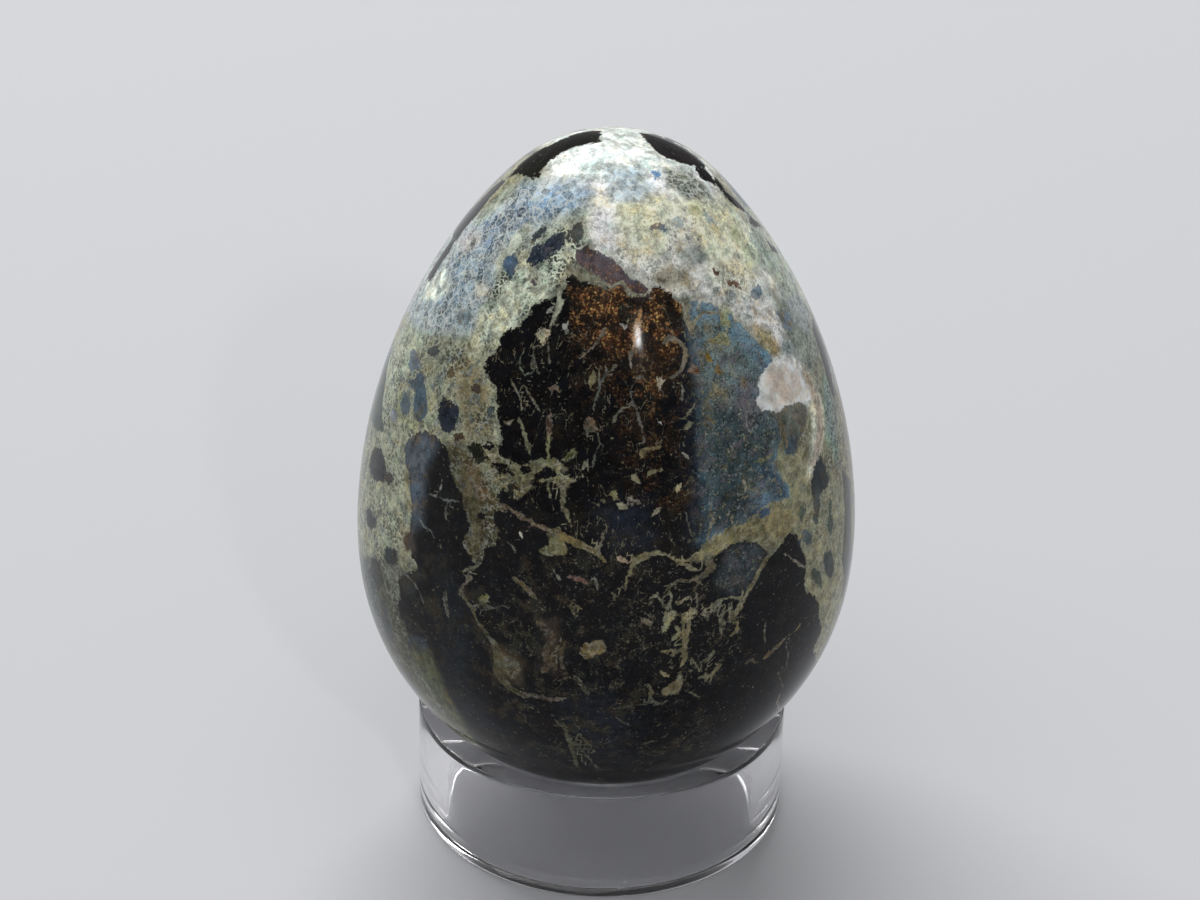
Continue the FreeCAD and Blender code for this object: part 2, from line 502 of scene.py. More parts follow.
# Dark fragments, largest first: colour, outline
CLASTS = {
    "lower mass": (BLACK, [
        (398, 578), (420, 566), (445, 574), (470, 572), (480, 562), (478, 548), (497, 545), (499, 530),
        (490, 520), (500, 505), (497, 495), (505, 482), (520, 483), (540, 480), (560, 483), (575, 478),
        (600, 470), (640, 465), (700, 465), (712, 505), (712, 530), (702, 548), (690, 556), (700, 562),
        (715, 556), (730, 545), (745, 539), (760, 545), (772, 555), (782, 545), (786, 530), (797, 535),
        (800, 545), (806, 560), (806, 575), (803, 588), (812, 595), (819, 603), (819, 615), (822, 630),
        (817, 640), (813, 650), (816, 660), (830, 690), (800, 760), (740, 800), (640, 830), (560, 830),
        (470, 790), (445, 712), (425, 680), (410, 645), (402, 610)]),
    "main": (BLACK, [
        (569, 276), (563, 288), (549, 299), (540, 302), (531, 308), (527, 316), (521, 323), (514, 330),
        (503, 333), (500, 338), (502, 347), (497, 351), (489, 358), (484, 366), (486, 374), (492, 381),
        (497, 387), (496, 397), (498, 408), (497, 420), (501, 430), (502, 440), (497, 447), (500, 456),
        (512, 462), (520, 466), (533, 461), (545, 458), (560, 462), (590, 480), (640, 480), (700, 490),
        (712, 470), (706, 420), (704, 380), (692, 345), (688, 325), (683, 318), (681, 302), (668, 294),
        (659, 287), (653, 290), (651, 297), (640, 298), (630, 296), (622, 283), (612, 288), (600, 286),
        (585, 280)]),
    # Painted reflection: the steel blue of this fragment stands for lit surroundings reflected in blue by a
    # black fragment with metallic grains.
    "blue": (STEEL, [
        (690, 301), (697, 300), (698, 310), (702, 302), (712, 305), (722, 313), (727, 312), (740, 325),
        (755, 340), (770, 355), (773, 360), (764, 372), (760, 388), (758, 400), (762, 410), (772, 412),
        (779, 420), (782, 440), (776, 455), (773, 464), (780, 476), (788, 488), (789, 496), (780, 501),
        (768, 502), (755, 515), (745, 523), (732, 527), (720, 531), (710, 538), (700, 540), (696, 500),
        (698, 440), (698, 380), (690, 340)]),
    "left black": (BLACK, [
        (418, 433), (428, 432), (438, 440), (446, 446), (450, 455), (451, 470), (455, 484), (462, 495),
        (465, 508), (468, 520), (469, 530), (466, 537), (464, 543), (469, 555), (476, 566), (462, 578),
        (440, 578), (420, 568), (412, 556), (410, 540), (411, 520), (412, 500), (409, 480), (406, 462),
        (404, 448), (410, 440)]),
    "purple": ((74, 66, 72), [
        (575, 262), (578, 252), (584, 247), (592, 248), (598, 254), (607, 258), (613, 260), (620, 266),
        (626, 273), (631, 280), (640, 282), (646, 288), (646, 293), (636, 294), (629, 290), (622, 281),
        (614, 283), (606, 282), (598, 277), (588, 272), (578, 267)]),
    "purple tip": ((40, 36, 38), [(582, 247), (590, 242), (594, 250), (586, 252)]),
    "crown left": ((20, 21, 18), [
        (508, 178), (519, 165), (535, 152), (551, 145), (562, 139), (575, 134), (588, 131), (600, 131),
        (601, 141), (590, 143), (575, 147), (562, 153), (549, 160), (543, 170), (538, 178), (526, 177),
        (516, 174)]),
    "crown right": ((26, 23, 25), [
        (640, 133), (655, 134), (668, 140), (685, 148), (697, 157), (706, 166), (700, 168), (690, 165),
        (680, 163), (672, 160), (660, 155), (652, 147), (646, 140)]),
    "crown right 2": (BLACK, [
        (698, 166), (704, 167), (712, 178), (715, 185), (706, 181), (699, 176), (695, 168)]),
    "crown right 3": (BLACK, [(714, 176), (720, 182), (725, 190), (721, 191), (716, 184)]),
    "crown right 4": (BLACK, [
        (727, 193), (733, 197), (741, 206), (747, 213), (741, 210), (733, 204), (726, 198)]),
    "crown right 5": (BLACK, [(748, 214), (755, 220), (762, 226), (756, 228), (750, 223)]),
    "crown right 6": (BLACK, [(767, 241), (774, 247), (779, 253), (773, 252)]),
    # Painted shade: these two black slivers along the upper-left outline stand for the dark rim of the
    # stone there, not for fragments.
    "rim left": (BLACK, [
        (505, 182), (497, 190), (487, 202), (477, 215), (467, 226), (458, 238), (452, 240), (456, 228),
        (467, 213), (480, 200), (492, 188), (502, 180)]),
    "rim left 2": (BLACK, [
        (457, 237), (450, 251), (440, 266), (431, 281), (427, 279), (434, 266), (441, 255), (448, 245)]),
    "rim left 3": ((54, 62, 56), [
        (388, 362), (385, 385), (383, 400), (382, 418), (385, 432), (375, 430), (371, 415), (373, 395),
        (379, 374)]),
    "navy": ((34, 42, 52), [
        (529, 250), (534, 246), (543, 243), (552, 236), (561, 231), (566, 236), (564, 247), (556, 252),
        (548, 258), (543, 264), (532, 269), (528, 262)]),
    "navy 2": ((50, 56, 60), [(532, 237), (538, 231), (546, 228), (545, 235), (538, 239), (531, 244)]),
    "navy 3": ((64, 62, 56), [(570, 228), (577, 221), (583, 222), (583, 240), (575, 243), (569, 237)]),
    "slate": (SLATE, [
        (503, 258), (510, 255), (518, 257), (520, 263), (514, 270), (513, 279), (507, 275), (503, 267)]),
    "grey top": ((146, 156, 150), [(702, 211), (712, 213), (717, 220), (717, 229), (710, 226), (706, 218)]),
    "grey top 2": ((140, 150, 148), [(673, 221), (678, 219), (683, 223), (681, 228), (676, 228)]),
    "left 1": ((84, 94, 102), [(411, 351), (418, 352), (421, 360), (418, 369), (412, 371), (410, 362)]),
    "left 2": ((56, 68, 76), [
        (420, 373), (424, 376), (425, 388), (427, 400), (427, 412), (421, 423), (416, 421), (413, 410),
        (415, 398), (415, 388), (408, 385), (408, 380), (415, 378)]),
    "left 3": ((66, 77, 84), [(404, 392), (410, 396), (411, 405), (408, 416), (402, 414), (400, 405)]),
    "left 4": ((32, 36, 44), [
        (438, 408), (440, 398), (446, 396), (450, 402), (457, 406), (460, 413), (459, 421), (454, 430),
        (449, 434), (442, 430), (438, 418)]),
    "left 5": ((104, 110, 118), [(391, 410), (395, 406), (398, 415), (396, 423), (391, 420)]),
    "left 6": ((40, 42, 42), [
        (372, 452), (377, 447), (382, 451), (386, 465), (388, 478), (384, 483), (377, 481), (371, 475),
        (369, 464)]),
    "left 7": ((42, 45, 45), [
        (366, 510), (370, 508), (373, 515), (376, 519), (375, 527), (371, 531), (367, 524)]),
    "left 8": ((50, 44, 40), [(405, 532), (410, 534), (413, 548), (407, 551), (403, 542)]),
    "left 9": ((54, 44, 34), [(453, 437), (461, 433), (465, 437), (460, 442), (455, 444)]),
    "left 10": ((104, 112, 112), [(455, 318), (460, 311), (470, 310), (474, 317), (467, 325), (458, 325)]),
    "wedge 1": ((26, 28, 22), [
        (466, 446), (473, 442), (480, 443), (484, 452), (489, 461), (480, 464), (472, 458)]),
    "wedge 2": (BLACK, [(484, 443), (490, 441), (496, 446), (494, 454), (489, 450)]),
    "under spot": ((72, 73, 66), [
        (770, 412), (785, 407), (800, 401), (807, 407), (806, 425), (800, 440), (796, 452), (787, 456),
        (783, 444), (782, 430), (776, 418)]),
    "diamond": ((26, 31, 33), [
        (820, 455), (824, 462), (826, 470), (830, 478), (826, 488), (820, 495), (813, 499), (811, 490),
        (811, 478), (815, 468), (818, 458)]),
    "right 1": ((42, 46, 44), [
        (825, 552), (831, 550), (834, 560), (834, 573), (830, 580), (825, 572), (823, 560)]),
    "right 2": ((40, 44, 40), [(842, 470), (850, 480), (852, 560), (846, 600), (842, 560), (845, 510)]),
    "right 3": ((48, 62, 78), [(755, 515), (762, 509), (771, 508), (767, 516), (760, 520), (755, 519)]),
    "right 4": ((92, 104, 112), [(776, 312), (786, 310), (794, 322), (792, 332), (784, 328)]),
    "blue dot": ((108, 138, 172), [(652, 171), (659, 171), (661, 177), (655, 179)]),
    "grey right 3": ((104, 112, 118), [(752, 289), (760, 287), (764, 296), (757, 300), (751, 296)]),
    "grey right 4": ((118, 124, 122), [(711, 289), (718, 287), (721, 295), (714, 297)]),
    "flank chip": ((58, 66, 68), [(803, 530), (811, 532), (814, 542), (807, 546), (802, 538)]),
    "left chip": ((60, 62, 80), [(529, 279), (536, 277), (540, 282), (534, 286)]),
    "ragged fleck": ((92, 98, 104), [
        (649, 233), (652, 226), (660, 224), (672, 231), (664, 232), (657, 229)]),
    "pit": ((70, 52, 44), [(714, 270), (719, 270), (722, 274), (717, 277)]),
    "pit 2": ((84, 62, 50), [(724, 279), (732, 281), (740, 287), (731, 286)]),
    "rim low": ((30, 32, 30), [(441, 707), (446, 706), (454, 713), (456, 718), (448, 715)]),
    # Painted shade: a black sliver along the right outline, standing for the dark rim of the stone there,
    # not for a fragment.
    "right 5": (BLACK, [
        (812, 316), (818, 330), (826, 352), (832, 380), (836, 405), (829, 385), (820, 352), (813, 332)]),
    "low left 1": ((30, 32, 30), [(400, 574), (412, 572), (424, 578), (420, 592), (408, 590)]),
    "low left 2": (BLACK, [
        (420, 584), (436, 582), (446, 596), (442, 612), (434, 622), (424, 610), (418, 598)]),
    "low left 3": ((40, 46, 52), [(408, 640), (420, 636), (426, 650), (424, 664), (414, 658), (407, 650)]),
    "low left 4": ((44, 48, 46), [(379, 596), (384, 600), (390, 622), (394, 640), (388, 642), (382, 624)]),
    "low left 5": ((34, 38, 36), [(372, 556), (380, 562), (384, 584), (378, 590), (370, 572)]),
    "low left 6": ((36, 38, 36), [(386, 546), (396, 550), (399, 562), (390, 567), (384, 558)]),
    "low left 7": (BLACK, [(396, 600), (404, 603), (416, 620), (423, 634), (412, 632), (400, 616)]),
    "low left 8": ((38, 42, 34), [(396, 660), (410, 668), (422, 690), (434, 706), (420, 700), (404, 680)]),
    "right low 1": ((50, 56, 54), [(813, 501), (818, 496), (821, 506), (817, 524), (813, 519), (815, 510)]),
    "right low 2": ((48, 58, 50), [
        (828, 496), (832, 502), (831, 512), (834, 524), (830, 538), (827, 526), (829, 514)]),
    "right low 3": ((60, 66, 56), [(800, 504), (806, 508), (804, 516), (801, 524), (798, 514)]),
    "right low 4": ((44, 50, 44), [(812, 566), (820, 572), (822, 588), (815, 584), (810, 574)]),
}

# Soft zones of the fragments' colour: colour, softness, outline
INNER_ZONES = {
    "bronze": ((26, 20, 16), 1.0, [
        (575, 285), (620, 286), (680, 300), (688, 330), (680, 356), (664, 396), (646, 396), (625, 360),
        (600, 348), (580, 340)]),
    "left blue": ((62, 68, 74), 0.8, [
        (402, 440), (430, 432), (438, 445), (426, 470), (422, 520), (412, 530), (408, 480)]),
    # The zones blue body, blue dusk, blue top, blue purple, blue low, blue edge, blue soft edge and blue
    # corner shade the blue fragment's painted reflection: lighter at its top and upper edge, darker lower
    # down, and darkest at the soft left edge, where the reflection fades.
    "blue body": ((86, 97, 96), 0.8, [
        (698, 312), (722, 318), (760, 366), (758, 400), (776, 430), (770, 466), (745, 500), (706, 500),
        (702, 420)]),
    "blue dusk": ((44, 55, 58), 1.5, [
        (704, 400), (758, 400), (780, 430), (772, 465), (745, 500), (740, 525), (712, 530), (706, 470)]),
    "blue top": ((92, 114, 125), 0.4, [(690, 302), (712, 302), (718, 314), (702, 324), (692, 316)]),
    "blue purple": ((78, 80, 84), 0.8, [
        (734, 384), (752, 372), (762, 392), (762, 416), (744, 420), (732, 404)]),
    "blue low": ((34, 43, 46), 1.0, [(716, 486), (742, 486), (752, 506), (736, 526), (714, 530)]),
    "under spot top": ((88, 84, 74), 0.3, [(772, 410), (800, 400), (808, 408), (800, 420), (780, 420)]),
    "under spot end": ((48, 58, 64), 0.4, [(780, 438), (798, 436), (796, 456), (786, 460)]),
    "blue edge": ((94, 115, 125), 0.5, [
        (722, 313), (730, 312), (772, 355), (768, 364), (745, 345), (728, 330)]),
    "blue soft edge": ((16, 20, 26), 1.0, [
        (676, 330), (690, 340), (700, 400), (703, 470), (706, 540), (690, 545), (680, 440)]),
    "blue corner": ((46, 65, 80), 0.6, [
        (758, 466), (768, 464), (776, 478), (786, 488), (788, 497), (778, 500), (766, 488)]),
    "oval": ((38, 43, 46), 0.8, [
        (728, 550), (742, 541), (758, 543), (765, 553), (760, 568), (748, 590), (730, 595), (716, 580)]),
    "centre blue": ((20, 23, 30), 1.5, [(600, 500), (645, 500), (650, 545), (620, 550), (600, 530)]),
    "low blue": ((17, 19, 24), 1.5, [(560, 700), (600, 690), (640, 720), (620, 760), (580, 750)]),
    "low left blue": ((18, 21, 24), 1.5, [
        (440, 560), (470, 610), (470, 690), (500, 730), (460, 720), (436, 640)]),
    "olive rim": ((58, 60, 42), 0.6, [
        (400, 650), (430, 650), (445, 690), (470, 735), (500, 765), (470, 760), (425, 705)]),
    "brown patch": ((50, 45, 33), 0.8, [(490, 646), (508, 648), (522, 664), (520, 684), (500, 676)]),
    "mauve patch": ((40, 35, 30), 0.8, [
        (536, 618), (556, 620), (562, 645), (556, 672), (540, 668), (545, 645)]),
}

# Matrix inside the fragments: colour, outline
PALES = {
    "round spot": ((242, 206, 184), [
        (758, 386), (761, 375), (768, 365), (779, 360), (791, 362), (801, 370), (808, 382), (811, 393),
        (806, 402), (797, 403), (788, 407), (777, 411), (766, 411), (758, 406), (756, 399), (760, 392)]),
    "wedge": ((60, 56, 38), [
        (449, 450), (456, 447), (463, 451), (468, 457), (472, 463), (478, 472), (484, 482), (489, 490),
        (494, 498), (503, 504), (512, 510), (505, 513), (497, 511), (492, 517), (495, 524), (499, 530),
        (499, 538), (494, 543), (487, 544), (482, 546), (483, 556), (480, 565), (474, 560), (468, 550),
        (464, 542), (466, 535), (469, 527), (468, 517), (465, 505), (462, 494), (455, 484), (451, 470)]),
    "band": ((96, 92, 68), [
        (489, 462), (498, 466), (510, 468), (520, 470), (532, 466), (545, 467), (556, 467), (566, 470),
        (578, 473), (577, 480), (569, 482), (566, 490), (564, 498), (559, 498), (559, 485), (548, 481),
        (540, 483), (532, 488), (525, 491), (518, 500), (510, 498), (504, 489), (497, 482), (492, 473)]),
    "olive patch": ((98, 94, 66), [
        (549, 531), (560, 528), (566, 535), (567, 545), (566, 553), (558, 555), (550, 556), (541, 553),
        (540, 550), (549, 547)]),
    "tan oval": ((84, 72, 46), [
        (580, 652), (586, 643), (594, 640), (602, 640), (607, 645), (606, 651), (600, 655), (592, 658),
        (584, 657)]),
    "pale chip": ((156, 146, 120), [
        (536, 334), (543, 330), (552, 328), (548, 338), (543, 346), (538, 341)]),
    "blue chip": ((128, 126, 88), [(706, 343), (714, 338), (724, 333), (731, 339), (729, 345), (718, 344)]),
    "blue chip 2": ((150, 146, 108), [(720, 315), (726, 311), (730, 322), (728, 330), (721, 322)]),
    "corner chip": ((84, 78, 58), [
        (660, 692), (668, 686), (676, 680), (680, 672), (683, 682), (681, 690), (672, 695), (664, 697)]),
    "knot left": ((98, 94, 68), [
        (665, 612), (672, 610), (676, 616), (672, 622), (667, 632), (662, 634), (662, 625)]),
    "knot right": ((96, 90, 64), [
        (681, 616), (688, 609), (697, 608), (699, 613), (692, 618), (688, 624), (682, 622)]),
    "olive chip": ((86, 82, 50), [(478, 601), (485, 592), (490, 596), (490, 603), (483, 604)]),
    "tan chip": ((130, 106, 84), [
        (585, 429), (587, 422), (590, 417), (594, 420), (596, 426), (599, 431), (592, 430), (588, 433)]),
    "brown olive": ((66, 58, 40), [
        (497, 648), (505, 654), (518, 662), (520, 671), (514, 680), (505, 672), (497, 666)]),
}

# Soft zones of that matrix: colour, softness, strength, outline
PALE_ZONES = {
    "wedge middle": ((78, 64, 46), 0.3, 0.7, [
        (464, 462), (474, 460), (487, 484), (492, 502), (480, 500), (469, 482)]),
    "round spot light": ((250, 240, 226), 0.4, 1.0, [
        (776, 361), (792, 362), (810, 385), (802, 392), (790, 378)]),
}

# Dark spots on what is pale: colour, outline
SPOT_SOFT = 0.2
SPOTS = {
    "in band 5": (BLACK, [(500, 466), (508, 463), (512, 469), (505, 474), (499, 472)]),
    "in band 6": (BLACK, [(520, 468), (529, 464), (534, 470), (526, 475)]),
    "in band 7": (BLACK, [(541, 471), (550, 467), (555, 474), (547, 479), (540, 477)]),
    "in band 8": (BLACK, [(565, 468), (574, 464), (580, 470), (573, 477), (565, 475)]),
    "in band 9": (BLACK, [(584, 478), (592, 474), (596, 481), (590, 487)]),
    "in band 10": (BLACK, [(528, 482), (536, 479), (541, 485), (534, 490)]),
    "in flank": ((50, 44, 40), [(470, 388), (478, 384), (482, 390), (476, 395)]),
    "in flank 2": ((56, 58, 56), [(486, 410), (492, 407), (494, 414), (489, 418)]),
    "in flank 3": ((60, 60, 52), [(446, 372), (452, 368), (456, 374), (450, 379)]),
    "in flank 4": ((46, 44, 40), [(384, 476), (390, 472), (394, 480), (388, 486)]),
    "in flank 5": ((60, 64, 62), [(428, 350), (436, 346), (440, 354), (432, 359)]),
    "in wedge": (BLACK, [(476, 514), (483, 512), (488, 515), (484, 519), (478, 519)]),
    "in wedge 2": ((44, 28, 22), [(482, 523), (488, 521), (491, 526), (485, 529)]),
    "in band": (BLACK, [(492, 461), (503, 463), (507, 467), (497, 469), (491, 467)]),
    "in band 2": (BLACK, [(507, 470), (514, 472), (519, 478), (511, 478)]),
    "in band 3": (BLACK, [(534, 474), (542, 472), (546, 477), (538, 480)]),
    "in band 4": ((30, 30, 26), [(508, 484), (515, 482), (520, 488), (512, 492)]),
}

# Veins, threads and flecks: colour, widths along the line, line
VEINS = [
    # Clefts at the top
    ((150, 146, 122), (4, 5, 4, 3, 3, 4), [
        (568, 269), (582, 276), (600, 284), (612, 287), (622, 281), (630, 292)]),
    ((182, 184, 160), (5, 5, 7, 5, 3), [(565, 283), (558, 292), (561, 303), (556, 314), (550, 326)]),
    ((165, 165, 155), (2, 3, 3), [(563, 324), (565, 330), (568, 321)]),
    # In the large fragment
    ((105, 94, 82), (3, 4, 2, 2), [(605, 328), (598, 342), (590, 350), (580, 359)]),
    ((82, 84, 74), (2, 3, 2, 3, 2), [(607, 368), (604, 378), (598, 392), (594, 403), (594, 412)]),
    ((78, 80, 62), (2, 4, 2), [(593, 370), (594, 382), (590, 387)]),
    ((104, 100, 84), (3, 4, 2), [(611, 371), (614, 367), (617, 364)]),
    ((110, 108, 92), (5, 3, 2, 2), [(613, 421), (618, 412), (624, 408), (632, 405)]),
    ((78, 74, 70), (2, 2, 2), [(630, 393), (635, 408), (642, 424)]),
    ((90, 84, 80), (2, 2, 3), [(631, 388), (637, 379), (643, 376)]),
    ((96, 80, 62), (5, 8, 4), [(586, 422), (590, 427), (596, 428)]),
    ((90, 92, 76), (2, 2), [(588, 430), (587, 442)]),
    ((86, 88, 76), (2, 2), [(598, 434), (600, 447)]),
    ((80, 82, 72), (2, 2, 1), [(597, 449), (594, 461), (592, 472)]),
    ((84, 86, 52), (4, 7, 5), [(563, 461), (570, 456), (575, 450)]),
    ((118, 112, 92), (2, 4, 2), [(584, 460), (585, 466), (580, 470)]),
    ((122, 108, 76), (5, 6, 3, 3, 2), [(641, 457), (643, 450), (650, 449), (657, 448), (663, 446)]),
    ((126, 122, 98), (4, 7, 3), [(685, 429), (688, 425), (692, 423)]),
    ((96, 94, 72), (2, 3, 3, 4), [(701, 398), (694, 405), (690, 411), (686, 418)]),
    ((84, 72, 62), (2, 2), [(548, 342), (549, 364)]),
    ((104, 86, 70), (4, 6, 3), [(549, 389), (556, 388), (560, 392)]),
    ((92, 104, 88), (1.5, 2, 1.5, 2, 1.5, 2, 1.5), [
        (526, 346), (521, 356), (519, 366), (525, 376), (534, 372), (531, 362), (535, 355)]),
    ((134, 124, 104), (6, 4, 4, 5, 5, 3), [
        (664, 342), (672, 338), (680, 342), (686, 351), (684, 364), (680, 372)]),
    ((112, 104, 90), (3, 3, 2), [(684, 364), (678, 374), (670, 378)]),
    # Border of the blue fragment
    ((148, 142, 118), (6, 6, 5, 4, 3), [(684, 300), (686, 314), (690, 330), (697, 319), (704, 312)]),
    ((140, 132, 112), (3, 3, 2), [(704, 312), (712, 313), (719, 312)]),
    # Glints
    ((190, 140, 84), (2, 4, 7, 6, 4, 3, 2), [
        (641, 309), (640, 316), (637, 323), (636, 330), (635, 337), (634, 344), (632, 352)]),
    ((180, 168, 146), (3, 3, 4, 2), [(657, 377), (659, 384), (661, 380), (659, 391)]),
    # Across the lower mass
    ((96, 80, 62), (1, 3, 6, 4, 5, 2), [
        (502, 503), (512, 510), (524, 518), (536, 525), (546, 529), (556, 533)]),
    ((112, 98, 58), (5, 8, 8, 8, 6, 3), [
        (552, 531), (566, 538), (578, 544), (590, 549), (600, 555), (606, 562)]),
    ((112, 106, 82), (5, 5, 4, 5, 3), [(562, 482), (564, 495), (562, 505), (567, 513), (570, 523)]),
    ((98, 98, 74), (3, 3, 2), [(548, 482), (549, 490), (550, 498)]),
    ((140, 130, 92), (24, 22, 14, 9, 14, 15, 15, 8, 4), [
        (788, 526), (772, 524), (756, 528), (744, 530), (734, 534), (724, 541), (714, 548), (704, 554),
        (692, 560)]),
    ((118, 112, 84), (4, 4, 3, 3, 6, 8, 5, 3, 2), [
        (692, 560), (680, 562), (669, 556), (656, 552), (646, 556), (637, 559), (632, 568), (627, 577),
        (625, 592)]),
    ((100, 92, 72), (9, 9, 6, 4, 4, 3, 2), [
        (708, 558), (712, 568), (702, 576), (690, 581), (677, 580), (669, 587), (665, 597)]),
    ((106, 99, 72), (7, 7, 6, 5, 6, 5, 6, 8, 3), [
        (775, 546), (768, 556), (761, 568), (755, 580), (749, 590), (743, 601), (737, 611), (733, 618),
        (730, 623)]),
    ((112, 106, 96), (2, 3, 4, 2), [(784, 553), (792, 559), (800, 565), (806, 567)]),
    # In the blue fragment
    ((116, 110, 92), (2, 4, 3, 3, 2), [(712, 505), (709, 511), (713, 518), (710, 528), (707, 542)]),
    ((112, 110, 88), (3, 3, 3), [(733, 513), (732, 520), (733, 528)]),
    ((104, 104, 74), (3, 5, 4, 3), [(755, 462), (762, 460), (768, 457), (773, 454)]),
    ((126, 126, 132), (2, 2, 2), [(772, 461), (773, 468), (776, 474)]),
    ((118, 108, 82), (3, 5, 5, 3), [(779, 419), (784, 430), (786, 440), (787, 448)]),
    # Rim of the round spot
    ((192, 178, 160), (5, 7, 8, 9, 8, 5), [
        (803, 372), (813, 390), (819, 408), (820, 428), (818, 446), (812, 466)]),
    # Dots in the blue fragment
    ((138, 112, 50), (5, 6, 5), [(707, 354), (708, 358), (710, 361)]),
    ((150, 118, 66), (5, 7, 5), [(717, 366), (718, 370), (719, 374)]),
    ((84, 76, 48), (3, 5, 3), [(706, 418), (711, 421), (716, 423)]),
    # Knot at the lower right
    ((124, 122, 84), (5, 6, 4), [(676, 626), (679, 633), (672, 640)]),
    ((118, 106, 72), (4, 7, 7, 5, 4), [(690, 622), (686, 634), (684, 646), (686, 656), (681, 666)]),
    ((96, 90, 66), (3, 5, 4), [(671, 656), (678, 652), (684, 645)]),
    ((98, 94, 72), (3, 3, 3, 3), [(650, 599), (657, 594), (662, 603), (668, 610)]),
    ((92, 92, 72), (3, 3, 3, 2), [(669, 608), (672, 597), (668, 589), (674, 583)]),
    ((112, 104, 78), (3, 4, 3), [(676, 604), (684, 600), (691, 596)]),
    ((96, 92, 76), (4, 3, 3, 2), [(697, 608), (697, 597), (694, 589), (700, 583)]),
    ((92, 88, 74), (3, 3, 2), [(701, 614), (708, 617), (716, 604)]),
    ((86, 84, 70), (2, 4, 3, 2), [(720, 600), (717, 613), (724, 621), (720, 630)]),
    ((110, 104, 82), (2, 4, 3), [(729, 599), (735, 597), (740, 598)]),
    ((112, 104, 70), (3, 5, 3), [(660, 671), (664, 674), (669, 677)]),
    # Low on the right
    ((64, 62, 48), (2, 3, 2), [(712, 653), (706, 664), (704, 674)]),
    ((84, 78, 54), (2, 4, 3), [(719, 664), (712, 674), (705, 681)]),
    ((98, 82, 52), (5, 6, 5, 3, 2), [(764, 658), (771, 652), (778, 646), (785, 638), (791, 634)]),
    ((104, 92, 52), (3, 4, 2), [(795, 631), (798, 628), (801, 623)]),
    ((58, 62, 56), (2, 3, 2), [(786, 640), (788, 655), (786, 669)]),
    ((64, 62, 56), (1.5, 2.5, 2), [(766, 620), (764, 632), (765, 643)]),
    ((58, 52, 40), (3, 4, 3), [(744, 664), (750, 660), (757, 663)]),
    # Trail at the lower left
    ((76, 70, 46), (4, 5, 4, 3, 4, 6, 9, 13, 12, 8, 7, 7), [
        (460, 590), (468, 603), (474, 614), (478, 622), (486, 632), (492, 641), (497, 650), (500, 660),
        (499, 671), (504, 682), (513, 690), (526, 696)]),
    ((88, 88, 72), (3, 3, 2, 2), [(470, 607), (482, 604), (494, 608), (507, 605)]),
    ((84, 70, 44), (4, 5, 6, 4), [(514, 578), (523, 585), (530, 592), (536, 598)]),
    ((72, 60, 46), (6, 9, 8, 7, 9, 6), [
        (538, 622), (547, 631), (552, 641), (545, 652), (549, 664), (543, 672)]),
    ((66, 56, 44), (4, 6, 5, 4), [(524, 694), (538, 696), (552, 700), (566, 698)]),
    ((56, 54, 44), (3, 4, 3), [(556, 720), (575, 742), (597, 768)]),
    # In the left fragment
    ((82, 84, 76), (2, 4, 3), [(448, 502), (445, 511), (446, 519)]),
    ((84, 88, 92), (2, 3, 2, 2), [(419, 519), (424, 526), (431, 531), (434, 538)]),
    # Threads in the round spot
    ((238, 224, 210), (1, 1.5, 1), [(768, 372), (774, 368), (781, 371), (786, 368)]),
    ((238, 224, 210), (1, 1.5, 1), [(766, 382), (772, 379), (777, 384), (784, 381)]),
    ((238, 224, 210), (1, 1.5, 1), [(771, 393), (776, 389), (782, 393), (789, 390)]),
    ((238, 224, 210), (1, 1.5, 1), [(778, 402), (784, 397), (790, 401), (796, 396)]),
    ((238, 224, 210), (1, 1.5, 1), [(788, 374), (793, 379), (799, 377)]),
    ((238, 224, 210), (1, 1.5, 1), [(786, 385), (791, 387), (797, 384), (801, 389)]),
    ((238, 224, 210), (1, 1.5, 1), [(767, 398), (773, 401), (776, 406)]),
    ((226, 206, 190), (1, 1.5, 1), [(770, 377), (778, 376), (784, 377)]),
    ((226, 206, 190), (1, 1.5, 1), [(774, 386), (780, 388), (786, 386)]),
    ((226, 206, 190), (1, 1.5, 1), [(782, 396), (786, 393), (792, 395)]),
    # Streaks of the matrix
    ((208, 214, 190), (9, 10, 7, 6, 4), [(528, 228), (518, 242), (508, 250), (500, 262), (499, 276)]),
    ((198, 208, 184), (8, 9, 8, 5), [(510, 189), (498, 200), (488, 212), (478, 222)]),
    ((176, 180, 142), (4, 5, 5, 4), [(400, 392), (398, 405), (400, 418), (408, 425), (418, 427)]),
    # Flecks and threads of the dark fragments
    ((150, 148, 136), (2, 3, 2), [(545, 313), (551, 309), (555, 306)]),
    ((100, 96, 84), (2, 2, 2), [(533, 355), (536, 366), (539, 374)]),
    ((110, 104, 84), (2, 3, 2, 2), [(511, 380), (520, 397), (522, 410)]),
    ((104, 100, 90), (2, 2, 2), [(524, 385), (533, 400), (540, 412)]),
    ((116, 114, 88), (3, 4, 4, 5, 3), [(519, 418), (524, 432), (528, 445), (531, 455)]),
    ((124, 118, 102), (2, 4, 2), [(504, 422), (508, 424), (513, 421)]),
    ((94, 74, 62), (5, 7, 6), [(550, 414), (549, 424), (549, 436)]),
    ((118, 120, 84), (3, 4, 3, 4), [(549, 438), (548, 450), (549, 462)]),
    ((134, 128, 94), (3, 6, 4), [(595, 371), (592, 378), (590, 386)]),
    ((96, 90, 84), (2, 2, 2), [(636, 407), (641, 424), (645, 443)]),
    ((150, 140, 128), (4, 3, 2), [(631, 350), (630, 358), (631, 368)]),
    ((176, 172, 166), (2, 3), [(658, 421), (661, 423)]),
    ((146, 146, 136), (2, 3, 2), [(682, 452), (687, 457), (691, 458)]),
    ((110, 108, 92), (2, 3, 2), [(682, 384), (683, 392), (681, 400)]),
